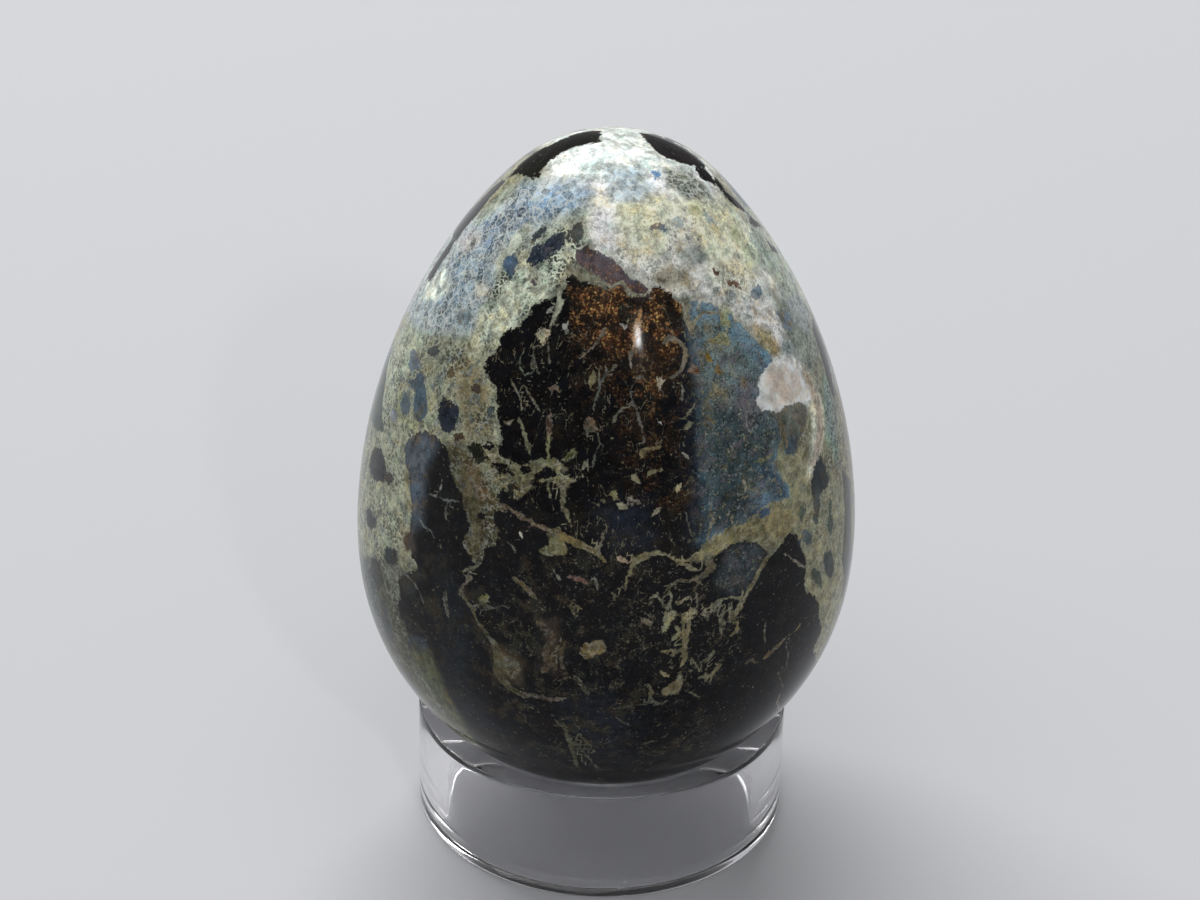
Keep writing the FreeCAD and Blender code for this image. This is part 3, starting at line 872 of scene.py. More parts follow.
    ((112, 76, 54), (5, 7, 6), [(689, 372), (693, 368), (698, 372)]),
    ((180, 178, 170), (3, 4, 2), [(621, 324), (625, 328), (628, 325)]),
    ((206, 206, 196), (2, 4, 2), [(519, 532), (521, 535), (522, 538)]),
    ((108, 102, 90), (2, 2, 2), [(507, 542), (512, 546), (516, 551)]),
    ((120, 116, 104), (2, 3, 2), [(553, 569), (556, 575), (560, 580)]),
    ((112, 80, 72), (4, 5, 5, 3), [(568, 577), (575, 578), (582, 580), (588, 583)]),
    ((104, 98, 66), (2, 3, 2), [(570, 602), (576, 606), (582, 609)]),
    ((96, 90, 60), (2, 3, 2), [(569, 604), (573, 611), (575, 616)]),
    ((108, 104, 96), (3, 3, 2), [(595, 578), (597, 584), (598, 590)]),
    ((98, 96, 78), (4, 4, 3), [(612, 592), (614, 596), (616, 600)]),
    ((148, 128, 108), (5, 6, 4), [(618, 558), (624, 560), (628, 563)]),
    ((128, 120, 92), (3, 4, 4, 5), [(672, 556), (680, 562), (688, 567), (696, 570)]),
    ((112, 104, 84), (3, 3, 3, 2), [(605, 530), (602, 538), (600, 546), (598, 552)]),
    ((134, 130, 92), (5, 6, 4), [(611, 494), (615, 493), (614, 499)]),
    ((146, 140, 110), (5, 8, 5), [(618, 504), (622, 506), (626, 508)]),
    ((124, 120, 98), (4, 6, 3), [(632, 476), (636, 479), (639, 483)]),
    ((124, 116, 110), (3, 4, 3), [(628, 498), (634, 501), (640, 502)]),
    ((112, 106, 80), (4, 5, 3), [(648, 474), (654, 471), (662, 470)]),
    ((160, 152, 118), (5, 7, 4), [(680, 484), (678, 488), (677, 492)]),
    ((120, 110, 88), (4, 5, 3), [(652, 515), (656, 511), (660, 508)]),
    ((72, 72, 66), (2, 2, 2), [(686, 512), (688, 524), (692, 536)]),
    ((150, 150, 150), (2, 2, 2), [(747, 416), (746, 424), (750, 432)]),
    ((140, 132, 112), (2, 3, 2), [(743, 480), (747, 486), (745, 492)]),
    ((146, 142, 118), (4, 5, 3), [(714, 391), (722, 393), (728, 388)]),
    ((118, 122, 114), (1.5, 2, 1.5), [(442, 478), (441, 488), (440, 496)]),
    ((100, 104, 98), (1.5, 2, 1.5), [(430, 494), (444, 499), (460, 502)]),
    ((60, 58, 48), (2, 2, 2), [(480, 610), (494, 608), (510, 607)]),
    ((64, 62, 56), (4, 6, 4), [(446, 590), (445, 602), (448, 616)]),
    ((118, 112, 86), (3, 3, 3, 2), [(703, 610), (712, 606), (720, 600), (728, 597)]),
    ((120, 114, 88), (3, 4, 3), [(728, 597), (738, 598), (746, 598)]),
    ((104, 98, 76), (2, 3, 2), [(728, 604), (732, 614), (728, 624)]),
    ((100, 96, 78), (2, 3, 3, 2), [(716, 604), (724, 612), (720, 622), (722, 634)]),
    ((112, 104, 72), (3, 4, 3), [(736, 620), (738, 630), (730, 636)]),
    ((92, 88, 68), (2, 2, 2), [(690, 655), (696, 664), (700, 674)]),
    ((96, 92, 68), (3, 3, 3), [(660, 652), (672, 650), (682, 656)]),
    ((90, 88, 68), (2, 2, 2), [(684, 690), (692, 693), (698, 697)]),
    ((92, 90, 72), (2, 3, 2), [(706, 674), (706, 664), (710, 656), (716, 651)]),
    ((104, 98, 74), (2, 3, 3, 2), [(697, 678), (710, 677), (716, 670), (723, 662)]),
    ((78, 74, 56), (3, 4, 4, 3), [(648, 684), (652, 692), (650, 700), (655, 706)]),
    ((70, 68, 54), (2, 3, 3), [(650, 700), (660, 704), (668, 700)]),
    ((56, 55, 46), (2, 2, 2), [(616, 709), (630, 706), (646, 704)]),
    ((60, 58, 48), (2, 3, 3, 2), [(615, 716), (622, 722), (632, 726)]),
    ((54, 54, 44), (2, 3, 2), [(640, 745), (648, 742), (658, 741)]),
    ((72, 76, 46), (3, 6, 6, 4), [(694, 761), (710, 757), (725, 757), (736, 751)]),
    ((54, 62, 42), (3, 6, 4), [(640, 781), (660, 777), (682, 772)]),
    ((60, 56, 48), (2, 2, 2), [(778, 672), (783, 686), (777, 700)]),
    ((92, 78, 70), (4, 4, 3), [(780, 694), (777, 702), (779, 709)]),
    ((90, 80, 62), (5, 7, 4), [(641, 618), (646, 621), (651, 625)]),
    ((64, 62, 44), (3, 5, 4, 5), [(563, 722), (568, 738), (573, 752), (577, 766)]),
    ((60, 58, 42), (3, 4, 3), [(580, 734), (587, 742), (594, 752)]),
    ((70, 60, 44), (3, 4, 4), [(566, 640), (560, 655), (562, 668)]),
    ((62, 58, 44), (3, 5, 4), [(574, 676), (582, 684), (588, 694)]),
    ((96, 92, 80), (3, 4, 3), [(463, 573), (471, 578), (463, 586), (458, 594)]),
    ((110, 108, 92), (3, 4, 3), [(462, 572), (470, 568), (479, 566)]),
    ((88, 90, 84), (3, 3, 2), [(398, 570), (410, 578), (420, 592), (424, 604)]),
]

for colour, soft, points in GROUND_ZONES.values():
    tint(ground, photo_outline(points), colour, soft)
for colour, points in CLASTS.values():
    clast(photo_outline(points), colour)
for colour, soft, points in INNER_ZONES.values():
    tint(inner, photo_outline(points), colour, soft)
for colour, points in PALES.values():
    pale(photo_outline(points), colour)
for colour, soft, strength, points in PALE_ZONES.values():
    tint(ground, photo_outline(points), colour, soft, strength)
for colour, points in SPOTS.values():
    clast(photo_outline(points), colour, SPOT_SOFT)
for colour, widths, points in VEINS:
    vein(seen_point(divided(points, VEIN_STEP)), np.array(widths) * PIXEL, colour)

# Sides and back, made up in the style of the front. Their colours are the stone's own.

BACK_GROUND = (126, 125, 102)
BACK_START, BACK_FADE = 0.15, 0.2
SEED = 11
POLE_MARGIN = 0.6
BACK_STEP = 3
RAGGED_TURNS, RAGGED_SIZES = (-0.3, 0.3), (0.72, 1.15)
SHARD_FLATNESS = 0.92
ANY_TILT = (-90, 90)
STAINS, SMALL_FRAGMENTS, TRAILS = 60, 330, 90
TRAIL_STEP = 1.3
TRAIL_COLOUR = np.array((150, 140, 106))
TRAIL_END = 0.1
TRAIL_RADIUS = 4
# Largest cosine of the angle to the camera at which a zone or a fragment still counts as hidden
ZONE_HIDDEN, STAIN_HIDDEN, CLAST_HIDDEN = 0.3, 0.2, 0.1
ZONE_SOFT = 1.5
CLAST_CORNERS, SMALL_CORNERS = 13, 8
NEAR_FRAGMENT = -0.3

# Azimuth, height, half width, half height, tilt, colour
BACK_ZONES = [
    (118, 50, 8, 5, 20, (186, 188, 158)),
    (-122, 52, 7, 5, -15, (158, 168, 164)),
    (172, 42, 10, 6, 10, (168, 164, 130)),
    (148, 24, 8, 8, -30, (112, 102, 76)),
    (-152, 34, 7, 9, 25, (134, 130, 102)),
    (-112, 34, 5, 9, 0, (128, 130, 108)),
    (-172, 57, 7, 4, 0, (196, 202, 186)),
    (112, 32, 4, 8, 10, (120, 118, 92)),
    (88, 50, 4, 6, 20, (150, 160, 144)),
    (82, 38, 3, 5, -10, (146, 140, 110)),
    (92, 28, 4, 6, 15, (104, 108, 92)),
    (86, 18, 5, 5, 0, (112, 98, 70)),
    (98, 58, 4, 3, 0, (176, 184, 178)),
]
BACK_CLASTS = [
    (134, 41, 9, 10, 35, (56, 70, 80)),
    (164, 33, 10, 8, -20, BLACK),
    (-168, 46, 9, 7, 15, (30, 22, 17)),
    (-134, 40, 8, 11, -25, BLACK),
    (-146, 24, 8, 6, 10, (34, 40, 50)),
    (-112, 23, 5, 8, 20, BROWN_BLACK),
    (107, 38, 3, 7, 10, BLACK),
    (150, 55, 4, 2.5, 30, BROWN_BLACK),
    (-146, 56, 3.5, 2.5, -20, (40, 46, 58)),
    (-108, 47, 2.5, 4, 15, SLATE),
    (180, 56, 3, 2.5, 0, (58, 50, 56)),
    (112, 52, 2.5, 3, 0, (60, 72, 84)),
    (89, 47, 1.6, 3.2, 15, (30, 34, 42)),
    (96, 53, 2.2, 1.6, -20, (36, 40, 50)),
    (94, 33, 2.6, 3.4, 20, (40, 50, 62)),
    (86, 26, 1.8, 3.0, -15, BLACK),
    (97, 24, 2.4, 2.0, 30, BROWN_BLACK),
    (91, 17, 3.4, 2.2, 10, (34, 42, 50)),
    (99, 42, 1.4, 2.2, 0, (52, 46, 50)),
    (-82, 24, 1.6, 3.0, 10, (34, 40, 46)),
    (-92, 31, 2.0, 2.6, -20, BLACK),
    (-88, 42, 1.4, 3.0, 10, (40, 46, 56)),
]
SHARD_COLOURS = [BLACK, BLACK, (40, 46, 56), SLATE, BROWN_BLACK, (52, 44, 48), STEEL]
GROUND_SHADES = [
    (176, 182, 164), (150, 162, 154), (118, 130, 136), (142, 132, 98), (96, 92, 70), (186, 176, 150),
    (110, 124, 104), (164, 172, 140)]
# Azimuth and height along the upper edge of the black underside, behind
UNDERSIDE = [
    (-180, 25), (-168, 21), (-156, 29), (-146, 18), (-134, 24), (-122, 15), (-110, 12), (-90, 13),
    (-60, 11), (-20, 13), (20, 12), (60, 13), (90, 14), (102, 19), (112, 25), (122, 22), (134, 29),
    (144, 19), (156, 25), (168, 27), (180, 25)]

light_share[:] = 1
from_front = ease((normals @ camera_back + BACK_START) / BACK_FADE)
ground += (linear(BACK_GROUND) - ground) * (1 - from_front[:, None])
rng = np.random.default_rng(SEED)
lowest, highest = EGG_BASE + POLE_MARGIN, EGG_BASE + EGG_LENGTH - POLE_MARGIN
outline_slope = np.gradient(outline_radius, outline_height)


def shard(azimuth, height, width, tall, tilt, corners=9):
    """A ragged outline of the surface: half width and half height, turned by tilt degrees."""
    turns = np.arange(corners) + rng.uniform(*RAGGED_TURNS, corners)
    turns = np.sort(turns) / corners * 2 * math.pi
    size = rng.uniform(*RAGGED_SIZES, corners)
    across, along = width * size * np.cos(turns), tall * size * np.sin(turns)
    tilt = math.radians(tilt)
    sideways = across * math.cos(tilt) - along * math.sin(tilt)
    upright = across * math.sin(tilt) + along * math.cos(tilt)
    radius = np.interp(height, outline_height, outline_radius)
    azimuths = azimuth + np.degrees(sideways / radius)
    heights = np.clip(height + SHARD_FLATNESS * upright, lowest, highest)
    places = np.stack((azimuths, heights), axis=-1)
    return on_stone(divided([*places, places[0]], BACK_STEP))


def hidden(line, margin=0.0):
    """True if the photograph doesn't show any point of a line."""
    slope = np.interp(line[:, 2], outline_height, outline_slope)
    outward = line[:, :2] / np.hypot(line[:, 0], line[:, 1])[:, None]
    normal = np.concatenate((outward, -slope[:, None]), axis=1)
    normal /= np.linalg.norm(normal, axis=1, keepdims=True)
    to_camera = camera_place - line
    to_camera /= np.linalg.norm(to_camera, axis=1, keepdims=True)
    return ((normal * to_camera).sum(axis=1) < margin).all()


def add_fragment(line, colour):
    """A fragment that leaves the colour of earlier fragments as it is."""
    colours_before = inner.copy()
    earlier = fields["clast"] > NEAR_FRAGMENT
    clast(line, colour)
    inner[earlier] = colours_before[earlier]


def random_place(azimuths, heights):
    return rng.uniform(*azimuths), rng.uniform(*heights)


def stain(azimuths=(75, 285), heights=(12, 62), widths=(1.5, 5), talls=(1.5, 4)):
    """A soft zone of the matrix, in one of the ground's shades."""
    azimuth, height = random_place(azimuths, heights)
    line = shard(azimuth, height, rng.uniform(*widths), rng.uniform(*talls), rng.uniform(*ANY_TILT))
    colour = GROUND_SHADES[rng.integers(len(GROUND_SHADES))]
    if hidden(line, STAIN_HIDDEN):
        tint(ground, line, colour, soft=rng.uniform(0.3, 1.2), strength=rng.uniform(0.4, 0.9))


def small_fragment(azimuths=(68, 292), heights=(14, 62), sizes=(0.3, 1.6), slimness=(0.6, 1.6)):
    """A fragment of a random size. Small ones are the most frequent."""
    azimuth, height = random_place(azimuths, heights)
    size = rng.uniform(*sizes) ** 1.5
    tall = size * rng.uniform(*slimness)
    line = shard(azimuth, height, size, tall, rng.uniform(*ANY_TILT), SMALL_CORNERS)
    colour = SHARD_COLOURS[rng.integers(len(SHARD_COLOURS))]
    if hidden(line, STAIN_HIDDEN):
        add_fragment(line, colour)


def trail(azimuths=(85, 275), heights=(5, 50), bends=(-0.7, 0.7), widths=(0.1, 1.0)):
    """A vein that wanders from a random place."""
    azimuth, height = random_place(azimuths, heights)
    heading = rng.uniform(0, 2 * math.pi)
    places = [(azimuth, height)]
    for _ in range(rng.integers(3, 10)):
        heading += rng.uniform(*bends)
        radius = max(np.interp(height, outline_height, outline_radius), TRAIL_RADIUS)
        azimuth += math.degrees(TRAIL_STEP * math.cos(heading) / radius)
        height = min(max(height + TRAIL_STEP * math.sin(heading), lowest), highest)
        places.append((azimuth, height))
    line = on_stone(np.array(places))
    width = rng.uniform(*widths) ** 1.6
    shade = rng.uniform(0.5, 0.9)
    if hidden(line):
        later_width = width * rng.uniform(0.5, 1.2)
        vein(line, (TRAIL_END, width, later_width, TRAIL_END), TRAIL_COLOUR * shade)


for *sizes, colour in BACK_ZONES:
    line = shard(*sizes)
    if hidden(line, ZONE_HIDDEN):
        tint(ground, line, colour, ZONE_SOFT)
clast(on_stone(divided(UNDERSIDE, BACK_STEP)), BLACK)
for *sizes, colour in BACK_CLASTS:
    line = shard(*sizes, CLAST_CORNERS)
    if hidden(line, CLAST_HIDDEN):
        clast(line, colour)
for draw, times in ((stain, STAINS), (small_fragment, SMALL_FRAGMENTS), (trail, TRAILS)):
    for _ in range(times):
        draw()

# Zones of the finer texture

TEXTURE_OUTLINES = {
    "right tangle": [
        (640, 560), (700, 560), (740, 590), (745, 650), (700, 700), (650, 700), (620, 640), (610, 580)],
    "wide tangle": [(500, 560), (620, 560), (640, 700), (720, 720), (700, 770), (560, 770), (480, 660)],
    "scribbles": [(530, 300), (690, 300), (700, 540), (600, 560), (500, 470), (490, 360)],
    "lower mottle": [
        (360, 560), (480, 560), (640, 560), (640, 680), (700, 700), (700, 790), (500, 790), (400, 690)],
    "middle mottle": [(600, 470), (700, 470), (700, 545), (640, 560), (600, 540)],
    "faint glints": [(572, 320), (692, 320), (692, 520), (640, 500), (610, 420), (575, 380)],
    "bronze glints": [
        (572, 285), (620, 284), (684, 300), (690, 330), (672, 345), (640, 350), (600, 345), (578, 330)],
    "low glints": [(640, 375), (662, 378), (664, 396), (650, 408), (636, 396)],
}

# Field, value, softness, name of the outline
FIELD_ZONES = [
    ("speckle", 1.0, 0.6, "white band"),
    ("speckle", 0.25, 0.6, "crown"),
    ("busy", 0.3, 0.6, "crown"),
    ("speckle", 0.9, 0.4, "band"),
    ("speckle", 1.0, 0.4, "dusty stain"),
    ("speckle", 0.8, 0.8, "left flank"),
    ("speckle", 0.1, 0.2, "round spot"),
    ("flake", 0.0, 0.2, "round spot"),
    ("flake", 1.0, 0.8, "right grey"),
    ("flake", 0.9, 0.8, "left flank"),
    ("flake", 0.1, 0.8, "crown"),
    ("flake", 0.3, 0.8, "cream band"),
    ("flake", 0.0, 0.5, "pink cream"),
    ("flake", 0.1, 0.5, "white cream"),
    ("speckle", 0.05, 0.5, "pink cream"),
    ("calm", 1.0, 0.8, "cream band"),
    ("speckle", 0.65, 0.8, "cream band"),
    ("calm", 0.4, 0.8, "crown"),
    ("calm", 0.9, 0.8, "left flank"),
    ("calm", 0.6, 0.8, "right flank"),
    ("calm", 1.9, 0.3, "round spot"),
    ("busy", 1.0, 0.8, "upper left"),
    ("busy", 1.0, 0.4, "frost right"),
    ("busy", 1.0, 0.4, "olive frost"),
    ("busy", 0.25, 0.3, "round spot"),
    ("tangle", 0.8, 1.5, "right tangle"),
    ("tangle", 0.5, 1.5, "wide tangle"),
    ("scribble", 1.0, 1.5, "scribbles"),
    ("mottle", 0.9, 1.5, "lower mottle"),
    ("mottle", 0.5, 1.5, "middle mottle"),
    ("glint", 0.12, 1.5, "faint glints"),
    ("glint", 1.0, 1.5, "bronze glints"),
    ("glint", 0.7, 0.8, "low glints"),
    ("sheen", 1.0, 1.0, "blue"),
    ("sheen", 0.6, 0.5, "oval"),
    ("sheen", 0.6, 0.3, "navy"),
    ("glint", 0.4, 0.4, "purple"),
]

# Field, value, softness, azimuth, height, half width, half height
BACK_FIELDS = [
    ("scribble", 0.9, 2.0, 164, 32, 11, 9),
    ("scribble", 0.8, 2.0, -134, 40, 8, 12),
    ("sheen", 1.0, 1.0, 134, 41, 10, 11),
    ("glint", 0.6, 1.5, -168, 46, 7, 6),
    ("speckle", 1.0, 1.5, 175, 40, 13, 8),
    ("busy", 1.0, 1.5, -122, 52, 8, 6),
    ("flake", 1.0, 1.5, -152, 34, 8, 12),
    ("flake", 1.0, 1.5, 120, 48, 9, 6),
    ("speckle", 0.9, 1.5, 84, 40, 7, 7),
    ("busy", 0.9, 1.5, 92, 54, 6, 5),
    ("flake", 1.0, 1.5, 88, 24, 7, 8),
    ("tangle", 1.0, 2.0, 170, 20, 16, 8),
    ("tangle", 0.8, 2.0, -130, 18, 12, 8),
    ("mottle", 0.8, 2.0, -150, 14, 18, 10),
    ("mottle", 0.8, 2.0, 130, 16, 16, 10),
]

outlines = dict(TEXTURE_OUTLINES)
for zones in (GROUND_ZONES, CLASTS, INNER_ZONES, PALES):
    outlines.update({name: entry[-1] for name, entry in zones.items()})
for name, value, soft, outline in FIELD_ZONES:
    level(name, photo_outline(outlines[outline]), value, soft)
for name, value, soft, *sizes in BACK_FIELDS:
    level(name, shard(*sizes, 0), value, soft)

# Egg

top_row = ROWS - 2
low_pole, high_pole = len(vertices) - 2, len(vertices) - 1
faces = []
for column in range(COLUMNS):
    following = (column + 1) % COLUMNS
    faces.append((low_pole, following, column))
    faces.append((high_pole, top_row * COLUMNS + column, top_row * COLUMNS + following))
    for base in range(0, top_row * COLUMNS, COLUMNS):
        above = base + COLUMNS
        faces.append((base + column, base + following, above + following, above + column))
egg = mesh_object("stone_egg_polished", vertices, faces)
egg.data.shade_smooth()
for name, values in fields.items():
    attribute = egg.data.attributes.new(name, "FLOAT", "POINT")
    attribute.data.foreach_set("value", values.astype(np.float32))
for name, colours in (("ground", ground), ("inner", inner)):
    attribute = egg.data.attributes.new(name, "FLOAT_COLOR", "POINT")
    opaque = np.insert(colours, 3, 1, axis=1).astype(np.float32)
    attribute.data.foreach_set("color", opaque.ravel())
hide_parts("stone_egg")
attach(egg, "egg")

# Node graphs


class Graph:
    """The nodes of a material or a world. A value that is a node's socket is linked, any other is set."""

    def __init__(self, owner):
        owner.use_nodes = True
        self.tree = owner.node_tree

    def put(self, node, inputs):
        for name, value in inputs.items():
            if isinstance(value, bpy.types.NodeSocket):
                self.tree.links.new(value, node.inputs[name])
            else:
                node.inputs[name].default_value = value

    def node(self, kind, inputs, **settings):
        node = self.tree.nodes.new("ShaderNode" + kind)
        for name, value in settings.items():
            setattr(node, name, value)
        self.put(node, inputs)
        return node

    def math(self, operation, first, second=0.0, third=0.0):
        return self.node("Math", {0: first, 1: second, 2: third}, operation=operation).outputs[0]

    def product(self, first, *others):
        for other in others:
            first = self.math("MULTIPLY", first, other)
        return first

    def less(self, first, second):
        return self.math("SUBTRACT", first, second)

    def ramp(self, value, low, high, start=0.0, end=1.0):
        """Goes smoothly from start to end as the value goes from low to high."""
        inputs = {"Value": value, "From Min": low, "From Max": high, "To Min": start, "To Max": end}
        return self.node("MapRange", inputs, interpolation_type="SMOOTHSTEP").outputs["Result"]

    def vector(self, operation, first, second):
        return self.node("VectorMath", {0: first, 1: second}, operation=operation).outputs["Vector"]

    def place(self):
        """The place on the object in millimetres."""
        coordinates = self.node("TexCoord", {}).outputs["Object"]
        inputs = {0: coordinates, "Scale": 1 / MM}
        return self.node("VectorMath", inputs, operation="SCALE").outputs["Vector"]

    def noise(self, place, scale, detail, roughness=0.55, output=0):
        inputs = {"Vector": place, "Scale": scale, "Detail": detail, "Roughness": roughness}
        return self.node("TexNoise", inputs).outputs[output]

    def warped(self, place, scale, detail, reach):
        """The place with a noise added, so that what is drawn with it runs unevenly."""
        inputs = {0: self.noise(place, scale, detail, 0.6, "Color"), 1: (reach, reach, reach), 2: place}
        return self.node("VectorMath", inputs, operation="MULTIPLY_ADD").outputs["Vector"]

    def ridges(self, place, scale, detail, roughness):
        """Small along the winding lines where a noise crosses its middle."""
        return self.math("ABSOLUTE", self.less(self.noise(place, scale, detail, roughness), 0.5))

    def cells(self, place, scale):
        """Three random numbers for each cell."""
        colour = self.node("TexVoronoi", {"Vector": place, "Scale": scale}).outputs["Color"]
        return self.node("SeparateColor", {"Color": colour}).outputs

    def cell_edges(self, place, scale):
        """Distance to the nearest edge between cells."""
        inputs = {"Vector": place, "Scale": scale}
        return self.node("TexVoronoi", inputs, feature="DISTANCE_TO_EDGE").outputs["Distance"]

    def mix(self, share, first, second, blend="MIX"):
        inputs = {0: share, 6: first, 7: second}
        return self.node("Mix", inputs, data_type="RGBA", blend_type=blend).outputs[2]

    def toned(self, share, colour, tone):
        """A share of the colour multiplied by a tone."""
        return self.mix(share, colour, self.mix(1.0, colour, tone, "MULTIPLY"))

    def shaded(self, colour, shade):
        grey = self.node("CombineColor", {0: shade, 1: shade, 2: shade}).outputs[0]
        return self.mix(1.0, colour, grey, "MULTIPLY")

    def attribute(self, name, output):
        return self.node("Attribute", {}, attribute_name=name).outputs[output]

    def seen_straight(self):
        """1 for what the camera sees, also through the clear ring, and 0 for light on the object."""
        paths = self.node("LightPath", {}).outputs
        return self.math("MAXIMUM", paths["Is Camera Ray"], paths["Is Transmission Ray"])


def screen(colour):
    return (*linear(colour), 1.0)


def new_material(name, piece):
    """A material on a piece, its graph and its shader."""
    material = bpy.data.materials.new(name)
    piece.data.materials.append(material)
    graph = Graph(material)
    return graph, graph.tree.nodes["Principled BSDF"]


# Polished stone. Colours that the layers add or multiply with are in linear light.

RAGGED_REACH, CHIPPED_REACH, EDGE_BLUR = 1.5, 0.7, 0.05
VEIN_SWAY, VEIN_SWELL, VEIN_FILL = 0.5, 0.55, 0.7
CALMING = 0.38
COOL_TONE, WARM_TONE = (0.62, 0.76, 0.74, 1), (1.0, 0.85, 0.62, 1)
FLAKE_COLOUR, PIT_COLOUR = screen((116, 128, 128)), screen((36, 37, 38))
THREAD_COLOUR = (0.88, 0.90, 0.80, 1)
NET_TONE = (0.42, 0.45, 0.38, 1)
BLUE_TONE, CRACK_COLOUR, SNOW_COLOUR = (0.52, 0.68, 0.80, 1), (0.84, 0.88, 0.82, 1), (0.64, 0.70, 0.62, 1)
BLUE_STAIN, BROWN_STAIN = (0.85, 1.05, 1.15, 1), (1.5, 1.1, 0.75, 1)
OLIVE_MOTTLE, BROWN_MOTTLE = (0.040, 0.041, 0.028, 1), (0.056, 0.043, 0.025, 1)
OLIVE_STAIN, MAUVE_STAIN = (0.36, 0.33, 0.17, 1), (0.19, 0.15, 0.17, 1)
PALE_DUST, DARK_DUST = (0.36, 0.42, 0.40, 1), (0.022, 0.026, 0.020, 1)
BRONZE, COPPER_SPARK, GOLD_SPARK = (0.115, 0.052, 0.024, 1), (0.34, 0.12, 0.05, 1), (0.80, 0.50, 0.17, 1)
GREY_HAIR, OCHRE_HAIR, SAND = (0.19, 0.19, 0.16, 1), (0.22, 0.18, 0.10, 1), (0.26, 0.23, 0.16, 1)
HAIR_WIDTH, LOOP_WIDTH = 0.015, 0.020
HAIR_STRETCH = (1.0, 1.0, 0.4)
STONE_SPECULAR = 0.12
CLAST_ROUGHNESS, GROUND_ROUGHNESS, UNEVEN_ROUGHNESS = 0.03, 0.12, 0.12
STONE_BUMP = {"Strength": 0.12, "Distance": 0.02 * MM}

stone, stone_shader = new_material("polished_breccia", egg)
place = stone.place()
field = {name: stone.attribute(name, "Fac") for name in fields}
ground_colour = stone.attribute("ground", "Color")
inner_colour = stone.attribute("inner", "Color")

# Noises that several layers share
broad = stone.noise(place, 0.3, 4, 0.6)
middle = stone.noise(place, 1.1, 7, 0.72)
patchy = stone.noise(stone.vector("ADD", place, (5.2, 1.3, 8.1)), 2.2, 7, 0.7)
fine = stone.noise(place, 7.0, 3, 0.65)
hue = stone.noise(stone.vector("ADD", place, (3.1, 7.7, 1.9)), 0.7, 6, 0.66)
cloudy = stone.noise(stone.vector("ADD", place, (1.7, 9.4, 4.2)), 0.9, 7, 0.72)
blotchy = stone.noise(stone.vector("ADD", place, (8.8, 2.6, 6.3)), 0.5, 8, 0.72)
grains = stone.cells(place, 7.0)

# Ragged edges of the fragments
ragged = stone.less(stone.noise(place, 1.1, 7, 0.7), 0.5)
chipped = stone.less(stone.noise(place, 4.2, 5, 0.65), 0.5)
clast_depth = stone.math("MULTIPLY_ADD", chipped, CHIPPED_REACH, field["clast"])
clast_depth = stone.math("MULTIPLY_ADD", ragged, RAGGED_REACH, clast_depth)
in_clast = stone.ramp(clast_depth, -EDGE_BLUR, EDGE_BLUR)

# Veins
sway = stone.less(stone.noise(place, 2.4, 5, 0.6), 0.5)
vein_off = stone.math("ABSOLUTE", stone.math("MULTIPLY_ADD", sway, VEIN_SWAY, field["vein_side"]))
vein_wide = stone.math("MULTIPLY_ADD", stone.less(patchy, 0.53), VEIN_SWELL, field["vein_width"])
in_vein = stone.ramp(stone.less(vein_wide, vein_off), -0.04, 0.05)

# Matrix: light and dark grains, warm and cool stains
fine_shade = stone.ramp(fine, 0.25, 0.75, -0.28, 0.28)
coarse_shade = stone.math("ADD", stone.ramp(middle, 0.34, 0.66, 0.38, 1.66), fine_shade)
unevenness = stone.less(coarse_shade, 1.0)
unrest = stone.math("MULTIPLY_ADD", field["calm"], -CALMING, 1.0)
shade = stone.math("MULTIPLY_ADD", unevenness, unrest, 1.0)
matrix = stone.shaded(ground_colour, shade)
matrix = stone.toned(stone.product(stone.ramp(hue, 0.48, 0.38, 0.0, 0.8), unrest), matrix, COOL_TONE)
matrix = stone.toned(stone.ramp(hue, 0.52, 0.63, 0.0, 0.6), matrix, WARM_TONE)

# Matrix: blue-grey flakes, pale threads, dark pits and lace
flake_share = stone.product(stone.ramp(cloudy, 0.53, 0.58), field["flake"], 0.8)
matrix = stone.mix(flake_share, matrix, stone.shaded(FLAKE_COLOUR, shade))
threads = stone.ridges(stone.warped(place, 1.2, 4, 0.8), 1.5, 5, 0.6)
thread_share = stone.product(stone.ramp(threads, 0.035, 0.008), stone.ramp(broad, 0.4, 0.6, 0.15, 0.6))
matrix = stone.mix(stone.product(thread_share, 0.55), matrix, THREAD_COLOUR)
lace = stone.ramp(stone.cell_edges(stone.warped(place, 1.6, 4, 0.5), 2.3), 0.11, 0.17)
lace_place = stone.product(stone.ramp(blotchy, 0.46, 0.50), stone.ramp(field["speckle"], 0.4, 0.9))
pits = stone.math("MAXIMUM", stone.ramp(patchy, 0.555, 0.585), stone.product(lace, lace_place))
pit_share = stone.product(pits, stone.ramp(broad, 0.36, 0.56, 0.3, 1.0), field["speckle"], 0.92)
matrix = stone.mix(pit_share, matrix, PIT_COLOUR)

